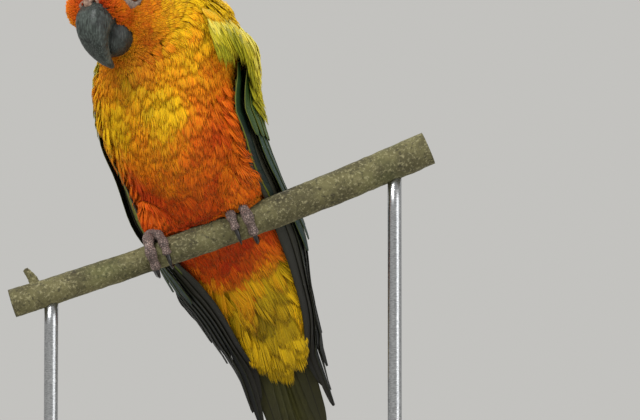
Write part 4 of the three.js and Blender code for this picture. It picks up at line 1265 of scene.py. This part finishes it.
# Bill, eyes and their rings.
def bill_look():
    look = Look("bill", roughness=0.42, Specular_IOR_Level=0.35, Coat_Weight=0.06, Coat_Roughness=0.3)
    cloud = look.noise(190, 5.0)
    lines = look.noise(1.0, 4.0, vector=look.position((2600, 2600, 260)))
    sharp = look.line(lines, 4.5, -2.1, clamp=True)
    paint = look.ramp(cloud, (0.3, "#0f1210"), (0.5, "#242a26"), (0.72, "#464e48"))
    paint = look.blend(look.times(sharp, 0.42), paint, "#7a8680")
    look.bump(lines, 0.5, 0.00025)
    # The shade value dims the paint: painted shade, half brightness on the lower bill under the upper one.
    return look.paint(look.brighten(paint, look.value("shade")))


def bill_pieces():
    look = bill_look()
    SIDES = 56
    path, wide, through = bill_path(UPPER_BILL, 90)
    ridges = 1 + 0.006 * np.sin(np.arange(90) * 1.1) + 0.004 * np.sin(np.arange(90) * 2.7)
    points, faces = tube_mesh(path, HEAD_AXES[0], wide * ridges, through * ridges, SIDES, square=1.6)
    for side in (1, -1):
        notch = in_head(side * 4.6, 11.6, -14.2)
        offset = (points - notch) @ HEAD_AXES.T / (3.0, 2.2, 1.6)
        near = np.exp(-(offset**2).sum(-1))
        points = points + near[:, None] * HEAD_AXES[1] * 1.6
    Batch().add(points, faces, shade=1.0).piece("bill_upper_horn", look, "bill", ("bill_upper",))
    path, wide, through = bill_path(LOWER_BILL, 60)
    points, faces = tube_mesh(path, HEAD_AXES[0], wide, through, SIDES)
    # The lower bill gets half brightness as painted shade under the upper bill.
    Batch().add(points, faces, shade=0.5).piece("bill_lower_horn", look, "bill", ("bill_lower",))


def eye_pieces():
    look = Look("eye", roughness=0.07, Specular_IOR_Level=0.4)
    look.paint(look.ramp(
        look.value("off"), (0.0, "#030202"), (0.40, "#040303"), (0.45, "#4a2411"), (0.78, "#6b3819"),
        (0.92, "#1a0f0a"), smooth=False))
    ring = Look("eye_ring", roughness=0.55)
    folds = ring.noise(900, 3.0)
    ring.bump(folds, 0.5, 0.0003)
    ring.paint(ring.ramp(folds, (0.3, "#6a5a50"), (0.7, "#9a8a7f")))
    skin_ring = Batch()
    for name, side in (("left", 1), ("right", -1)):
        axes = eye_axes(side)
        centre = eye_place(side, EYE_OUT)
        points, faces = ball_mesh(centre, axes, np.array([EYE_RADIUS, EYE_RADIUS, EYE_DEPTH]), 28, 48)
        local = (points - centre) @ axes.T
        off = np.linalg.norm(local[:, :2], axis=1) / EYE_RADIUS
        batch = Batch().add(points, faces, off=np.where(local[:, 2] > 0, off, 1.0))
        batch.piece(f"eyeball_{name}", look.material, "eye", (f"eye_{name}",))
        skin_ring.add(*lid_mesh(side))
    skin_ring.piece("eye_rings", ring.material, "plumage_head")


# The ring's section: radius, height, and how much its wrinkles show there.
LID_PROFILE = np.array([
    (3.8, 0.1, 0), (4.05, 0.75, 0.6), (4.4, 1.1, 1), (4.8, 1.2, 1), (5.2, 1.0, 1), (5.8, 0.5, 0.8),
    (6.5, -0.2, 0.2), (6.8, -1.6, 0), (4.2, -1.6, 0),
])


def lid_mesh(side):
    """A ring of bare wrinkled skin, from the eye to under the face feathers."""
    SECTIONS = 96
    radius, height, share = LID_PROFILE.T[..., None]
    turn = turns(SECTIONS)
    wrinkle = 0.12 * np.sin(turn * 23) + 0.08 * np.sin(turn * 37 + 1)
    points, faces = lathe_mesh(radius, height + wrinkle * share, SECTIONS)
    return points @ eye_axes(side) + eye_place(side, EYE_OUT + 1.2), faces


def cere_piece():
    look = Look("cere", roughness=0.5)
    bumps = look.noise(1100, 3.0)
    look.bump(bumps, 0.2, 0.0002)
    skin_tone = look.ramp(bumps, (0.3, "#6a4f42"), (0.7, "#a18370"))
    # The nostril pits are painted near black: painted shade inside the nostrils.
    look.paint(look.blend(look.value("pit"), skin_tone, "#0c0806"))
    points, faces = ball_mesh(in_head(0, 10.6, 2.8), HEAD_AXES, np.array([5.8, 3.4, 2.4]), 32, 64)
    pit = np.zeros(len(points))
    for side in (1, -1):
        offset = (points - in_head(side * 2.7, 13.4, 3.2)) @ HEAD_AXES.T / (1.0, 1.6, 0.9)
        near = np.exp(-(offset**2).sum(-1))
        points = points - near[:, None] * HEAD_AXES[1] * 1.8
        pit = np.maximum(pit, ease(near, 0.35, 0.3))
    Batch().add(points, faces, pit=pit).piece("cere", look.material, "bill")


# Feet. Each toe is a row of soft scaly joints that ends in a claw.
TOE_RADIUS = 2.05
# Where each toe starts and ends round the branch and its claw ends, its shift along it, and its fatness.
Toe = namedtuple("Toe", "name start end claw shift fat")
TOES = (
    Toe("inner_front", 112, -12, -58, (-1.2, -2.9), 0.94),
    Toe("outer_front", 112, -42, -84, (1.2, 2.6), 1.06),
    Toe("inner_back", 78, 196, 236, (-1.3, -3.4), 0.88),
    Toe("outer_back", 78, 218, 262, (1.3, 3.2), 1.0),
)


def foot_look():
    look = Look("foot_skin", roughness=0.6)
    scales = look.node("ShaderNodeTexVoronoi", {"Vector": look.position(), "Scale": 1150.0},
                       feature="DISTANCE_TO_EDGE").outputs["Distance"]
    seams = look.times(scales, 5.0, clamp=True)
    cloud = look.noise(320, 4.0)
    paint = look.ramp(cloud, (0.3, "#64504a"), (0.55, "#8d7870"), (0.8, "#b5a299"))
    look.bump(seams, 0.7, 0.00035)
    return look.paint(look.blend(seams, "#3b302d", paint))


def toe_along(side, toe, share):
    """How far along the branch a toe is; share runs from 0 at its root to 1 at its claw."""
    outward = 1 if side == "left" else -1
    return FOOT_PLACES[side] + outward * mix(*toe.shift, ease(share * 1.4))


def toe_mesh(side, toe, run):
    """A row of soft joints with scaly bands and a rounded end."""
    share = np.linspace(0, 1, 120)
    joints = 1 + 0.11 * np.cos(share * 6 * np.pi) - 0.16 * share
    bands = 0.09 * np.abs(np.sin(share * 15 * np.pi)) ** 0.5 - 0.03
    wide = TOE_RADIUS * toe.fat * (joints + bands)
    wide = wide * np.sqrt(np.clip(1 - (np.clip(share - 0.94, 0, 1) / 0.075) ** 2, 0.05, 1))
    path = beside_branch(toe_along(side, toe, share), mix(toe.start, toe.end, share),
                         GAP * 0.5 + TOE_RADIUS * toe.fat * joints * 0.98)
    return tube_mesh(path, run, wide, wide * 0.98, 28, ends=0.3)


def claw_piece(side, toe, run, material):
    ROWS = 30
    share = np.linspace(0, 1, ROWS)
    tip_lift = 2.6 if toe.claw < 0 else 1.3
    lift = mix(TOE_RADIUS * toe.fat * 0.9, tip_lift, share) + 0.9 * np.sin(share * np.pi)
    place = np.full(ROWS, toe_along(side, toe, 1.0))
    path = beside_branch(place, mix(toe.end, toe.claw, share), GAP + lift)
    high = mix(1.25, 0.16, share**1.3)
    batch = Batch().add(*tube_mesh(path, run, high * 0.82, high, 24, ends=0.8))
    batch.piece(f"claw_{side}_{toe.name}_horn", material, "claw", (f"claw_{side}_{toe.name}",))


def foot_pieces():
    look = foot_look()
    claw_look = Look("claw", roughness=0.3, Coat_Weight=0.15, Coat_Roughness=0.15)
    streaks = claw_look.noise(500, 3.0)
    claw_look.paint(claw_look.ramp(streaks, (0.3, "#090706"), (0.75, "#1d1715")))
    for side, place in FOOT_PLACES.items():
        batch = Batch()
        run = branch_run(place)
        for toe in TOES:
            batch.add(*toe_mesh(side, toe, run))
            claw_piece(side, toe, run, claw_look.material)
        pad_axes = np.stack([run, (0, -1, 0), (-run[2], 0, run[0])])
        pad = beside_branch(place, 94, GAP + 2.2)
        batch.add(*ball_mesh(pad, pad_axes, np.array([3.9, 4.4, 2.7]), 20, 36))
        share = np.linspace(0, 1, 24)
        shin = beside_branch(place, 102, 1.5) + share[:, None] * (1.5, 5.5, 11)
        wide = along((3.1, 2.6, 2.5, 3), share * 3) * (1 + 0.03 * np.abs(np.sin(share * 9 * np.pi)))
        batch.add(*tube_mesh(shin, (1, 0, 0), wide, wide * 0.95, 28))
        batch.piece(f"foot_{side}_skin", look, "foot_skin", (f"foot_{side}",))


# The perch: a cut length of branch with its bark, knots and sawn ends.
def bark_look():
    look = Look("bark", roughness=0.85)
    broad = look.noise(70, 6.0, 0.65)
    fine = look.noise(900, 4.0, 0.7)
    paint = look.ramp(broad, (0.3, "#332e1c"), (0.46, "#534e31"), (0.6, "#6a6541"), (0.78, "#847d5a"))
    speck = look.line(fine, 8.0, -4.2, clamp=True)
    paint = look.blend(look.times(speck, 0.6), paint, "#aaa37c")
    dark = look.line(look.noise(620, 4.0), -9.0, 4.1, clamp=True)
    paint = look.blend(look.times(dark, 0.7), paint, "#2b2718")
    green = look.line(look.noise(38, 3.0), 3.0, -1.5, clamp=True)
    paint = look.blend(look.times(green, 0.4), paint, "#5f6a34")
    growth = look.math("SINE", look.line(look.value("ring"), 24.0, look.times(broad, 3.0)))
    wood = look.ramp(look.line(growth, 0.5, 0.5), (0.15, "#4a371f"), (0.7, "#a18659"))
    wood = look.blend(look.line(look.value("ring"), 12.0, -10.8, clamp=True), wood, "#3f3420")
    wood = look.blend(look.line(look.value("ring"), -9.0, 1.0, clamp=True), wood, "#4c3a22")
    wood = look.blend(look.times(speck, 0.3), wood, "#d0ba8c")
    look.bump(look.math("ADD", fine, look.times(broad, 2.0)), 0.5, 0.0006)
    return look.paint(look.blend(look.value("sawn"), paint, wood))


SAWN_RINGS = np.linspace(1, 0.1, 8)


def perch_piece():
    look = bark_look()
    batch = Batch()
    ROWS, SIDES = 420, 72
    x = np.linspace(BRANCH_FROM, BRANCH_TO, ROWS)
    path = branch_centre(x)
    radius = branch_radius(x)
    points, faces = tube_mesh(path, (0, 1, 0), radius, radius, SIDES, ends=0.0)
    body = points[:-2]
    out = unit(body - np.repeat(path, SIDES, 0))
    rough = (0.16 * value_noise(body, 4.5, 31) + 0.12 * value_noise(body * (0.4, 1, 1), 1.5, 32)
             + 0.05 * value_noise(body, 0.7, 33))
    near_foot = np.min([np.abs(body[:, 0] - place) for place in FOOT_PLACES.values()], axis=0)
    calm = ease(near_foot, 4, 6)
    points[:-2] = body + out * (rough * mix(0.35, 1, calm))[:, None]
    batch.add(points, faces, sawn=0.0, ring=0.0)
    for end, forward in ((0, -1), (-1, 1)):
        batch.add(*sawn_end(points[:-2].reshape(ROWS, SIDES, 3)[end], path[end], forward, SIDES),
                  sawn=1.0, ring=np.append(np.repeat(SAWN_RINGS, SIDES), 0))
    foot = branch_centre(-64.0)
    knots = [foot, foot + (-2, 0, 6), foot + (-5, -0.5, 10)]
    share = np.linspace(0, 2, 26)
    shoot = smooth_path(knots, share)
    wide = along((2.6, 1.9, 1.1), share) * (1 + 0.04 * np.sin(share * 19))
    batch.add(*tube_mesh(shoot, (0, 1, 0), wide, wide, 24, ends=0.3), sawn=0.0, ring=0.0)
    batch.piece("perch_bark", look, "bark", ("perch",))


def sawn_end(rim, centre, forward, sides):
    """A flat sawn face just outside the end of the bark."""
    run = branch_run(centre[0]) * forward * 0.05
    rings = centre + (rim - centre)[None] * deep(SAWN_RINGS) + run
    points = np.vstack([rings.reshape(-1, 3), centre + run])
    faces = grid_faces(len(SAWN_RINGS), sides, wrap=True)
    here = np.arange(sides)
    last, apex = (len(SAWN_RINGS) - 1) * sides, np.full(sides, len(SAWN_RINGS) * sides)
    cap = np.stack([last + here, last + (here + 1) % sides, apex], 1)
    faces = np.vstack([faces, cap])
    return points, faces if forward > 0 else faces[:, ::-1]


# The display stand.
BASE_WIDTH, BASE_DEPTH, BASE_THICK = 168.0, 112.0, 12.0
BASE_CORNER, BASE_BEVEL, BASE_CENTRE = 14.0, 1.6, (6.0, 8.0)
ROD_PLACES = {"right": -59.0, "left": 73.0}
ROD_RADIUS = 2.7
# The collar's section: radius and height.
COLLAR = np.array([
    (ROD_RADIUS, 0.02), (5.2, 0.02), (5.6, 0.3), (5.6, 1.4), (5.2, 1.8), (3.4, 2.2), (ROD_RADIUS, 2.3),
])


def wood_look():
    look = Look("base_wood", roughness=0.38, Coat_Weight=0.3, Coat_Roughness=0.2)
    rings = look.noise(1.0, 6.0, 0.6, look.position((14, 190, 190)))
    pores = look.noise(1.0, 4.0, 0.6, look.position((60, 1500, 1500)))
    paint = look.ramp(rings, (0.3, "#2a1a10"), (0.5, "#45301f"), (0.7, "#5d422b"))
    paint = look.blend(look.times(pores, 0.35), paint, "#1c110a")
    look.bump(pores, 0.15, 0.0002)
    return look.paint(paint)


def base_piece():
    """A flat base with round corners and soft edges."""
    base = bpy.data.meshes.new("base_wood")
    shape = bmesh.new()
    outline = []
    turn = np.radians(np.arange(0, 90, 5))
    for k, (cx, cy) in enumerate(((1, 1), (-1, 1), (-1, -1), (1, -1))):
        for t in turn + k * np.pi / 2:
            outline.append((cx * (BASE_WIDTH / 2 - BASE_CORNER) + BASE_CORNER * np.cos(t),
                            cy * (BASE_DEPTH / 2 - BASE_CORNER) + BASE_CORNER * np.sin(t)))
    ring = [shape.verts.new(((x + BASE_CENTRE[0]) * MM, (y + BASE_CENTRE[1]) * MM, 0)) for x, y in outline]
    bottom = shape.faces.new(ring[::-1])
    grown = bmesh.ops.extrude_face_region(shape, geom=[bottom])
    tops = [v for v in grown["geom"] if isinstance(v, bmesh.types.BMVert)]
    bmesh.ops.translate(shape, verts=tops, vec=(0, 0, BASE_THICK * MM))
    bmesh.ops.recalc_face_normals(shape, faces=shape.faces)
    level = [e for e in shape.edges if abs(e.verts[0].co.z - e.verts[1].co.z) < 1e-6]
    bmesh.ops.bevel(shape, geom=level, offset=BASE_BEVEL * MM, segments=4, profile=0.6, affect="EDGES")
    shape.to_mesh(base)
    shape.free()
    base.shade_smooth()
    piece = placed("base_wood", base, wood_look(), ("stand_base",))
    piece.data.set_sharp_from_angle(angle=np.radians(35))


def rod_pieces():
    """The two rods that hold the branch, each with a low collar on the base."""
    SIDES = 48
    look = Look("rod_steel", roughness=0.28, Metallic=1.0)
    brushed = look.noise(1.0, 3.0, 0.5, look.position((900, 900, 6000)))
    look.bump(brushed, 0.08, 0.0001)
    look.paint(look.ramp(brushed, (0.3, "#8b8d90"), (0.7, "#c3c5c7")))
    radius, height = COLLAR.T[..., None]
    for side, x in ROD_PLACES.items():
        low = BASE_THICK - 1.0 - GRIP_HEIGHT
        high = float(branch_centre(x)[2]) - 1.0
        path = np.stack([np.full(12, x), np.zeros(12), np.linspace(low, high, 12)], -1)
        wide = np.full(12, ROD_RADIUS)
        batch = Batch().add(*tube_mesh(path, (1, 0, 0), wide, wide, SIDES, ends=0.0))
        points, faces = lathe_mesh(radius, height, SIDES)
        batch.add(points + (x, 0, BASE_THICK - GRIP_HEIGHT), faces)
        batch.piece(f"rod_{side}_steel", look.material, "rod_steel", (f"stand_rod_{side}",))


# The studio: floor, lights and camera.
FLOOR_SPAN = 6.0
LAMPS = (
    ("key", (-1.5, -2.2, 2.6), 1.5, 92),
    ("fill", (2.4, -1.8, 0.8), 2.0, 30),
    ("rim", (1.2, 2.0, 2.4), 1.4, 62),
)
VIEW_WIDTH, DISTANCE, ELEVATION = 0.2464, 1.8, -4.0


def add_floor():
    mesh = bpy.data.meshes.new("floor")
    corners = [(x * FLOOR_SPAN, y * FLOOR_SPAN, -0.0002) for x, y in ((-1, -1), (1, -1), (1, 1), (-1, 1))]
    mesh.from_pydata(corners, [], [(0, 1, 2, 3)])
    look = Look("floor", roughness=0.9)
    mesh.materials.append(look.paint(look.ramp(look.noise(3.0), (0.3, "#b0afab"), (0.7, "#b7b6b2"))))
    linked("floor", mesh)


def add_lights():
    world = bpy.data.worlds.new("studio")
    bpy.context.scene.world = world
    world.use_nodes = True
    world.node_tree.nodes["Background"].inputs["Color"].default_value = colour("#f1f0ec")
    world.node_tree.nodes["Background"].inputs["Strength"].default_value = 0.62
    for name, place, size, power in LAMPS:
        light = bpy.data.lights.new(name, "AREA")
        light.size, light.energy = size, power
        lamp = linked(name, light)
        lamp.location = place
        towards = Vector((0, 0, 0.2)) - Vector(place)
        lamp.rotation_euler = towards.to_track_quat("-Z", "Y").to_euler()


def add_camera():
    data = bpy.data.cameras.new("camera")
    data.sensor_width = 36
    data.lens = 36 * DISTANCE / VIEW_WIDTH
    camera = linked("camera", data)
    tilt = np.radians(ELEVATION)
    target = Vector((0.0443, 0, 0.1847))
    back = Vector((0, -np.cos(tilt), np.sin(tilt)))
    camera.location = target + back * DISTANCE
    camera.rotation_euler = (-back).to_track_quat("-Z", "Y").to_euler()
    bpy.context.scene.camera = camera
    bpy.context.scene.view_settings.view_transform = "Standard"


add_floor()
add_lights()
add_camera()
coat_pieces(*skin_piece())
for seed, (wing_name, each_wing) in zip((7, 8), WINGS.items()):
    wing_rng = np.random.default_rng(seed)
    for tier in (primaries, secondaries, greater_coverts, edge_feathers, soft_coverts):
        tier(wing_name, each_wing, wing_rng)
mantle_feathers()
tail_feathers()
bill_pieces()
eye_pieces()
cere_piece()
foot_pieces()
perch_piece()
base_piece()
rod_pieces()
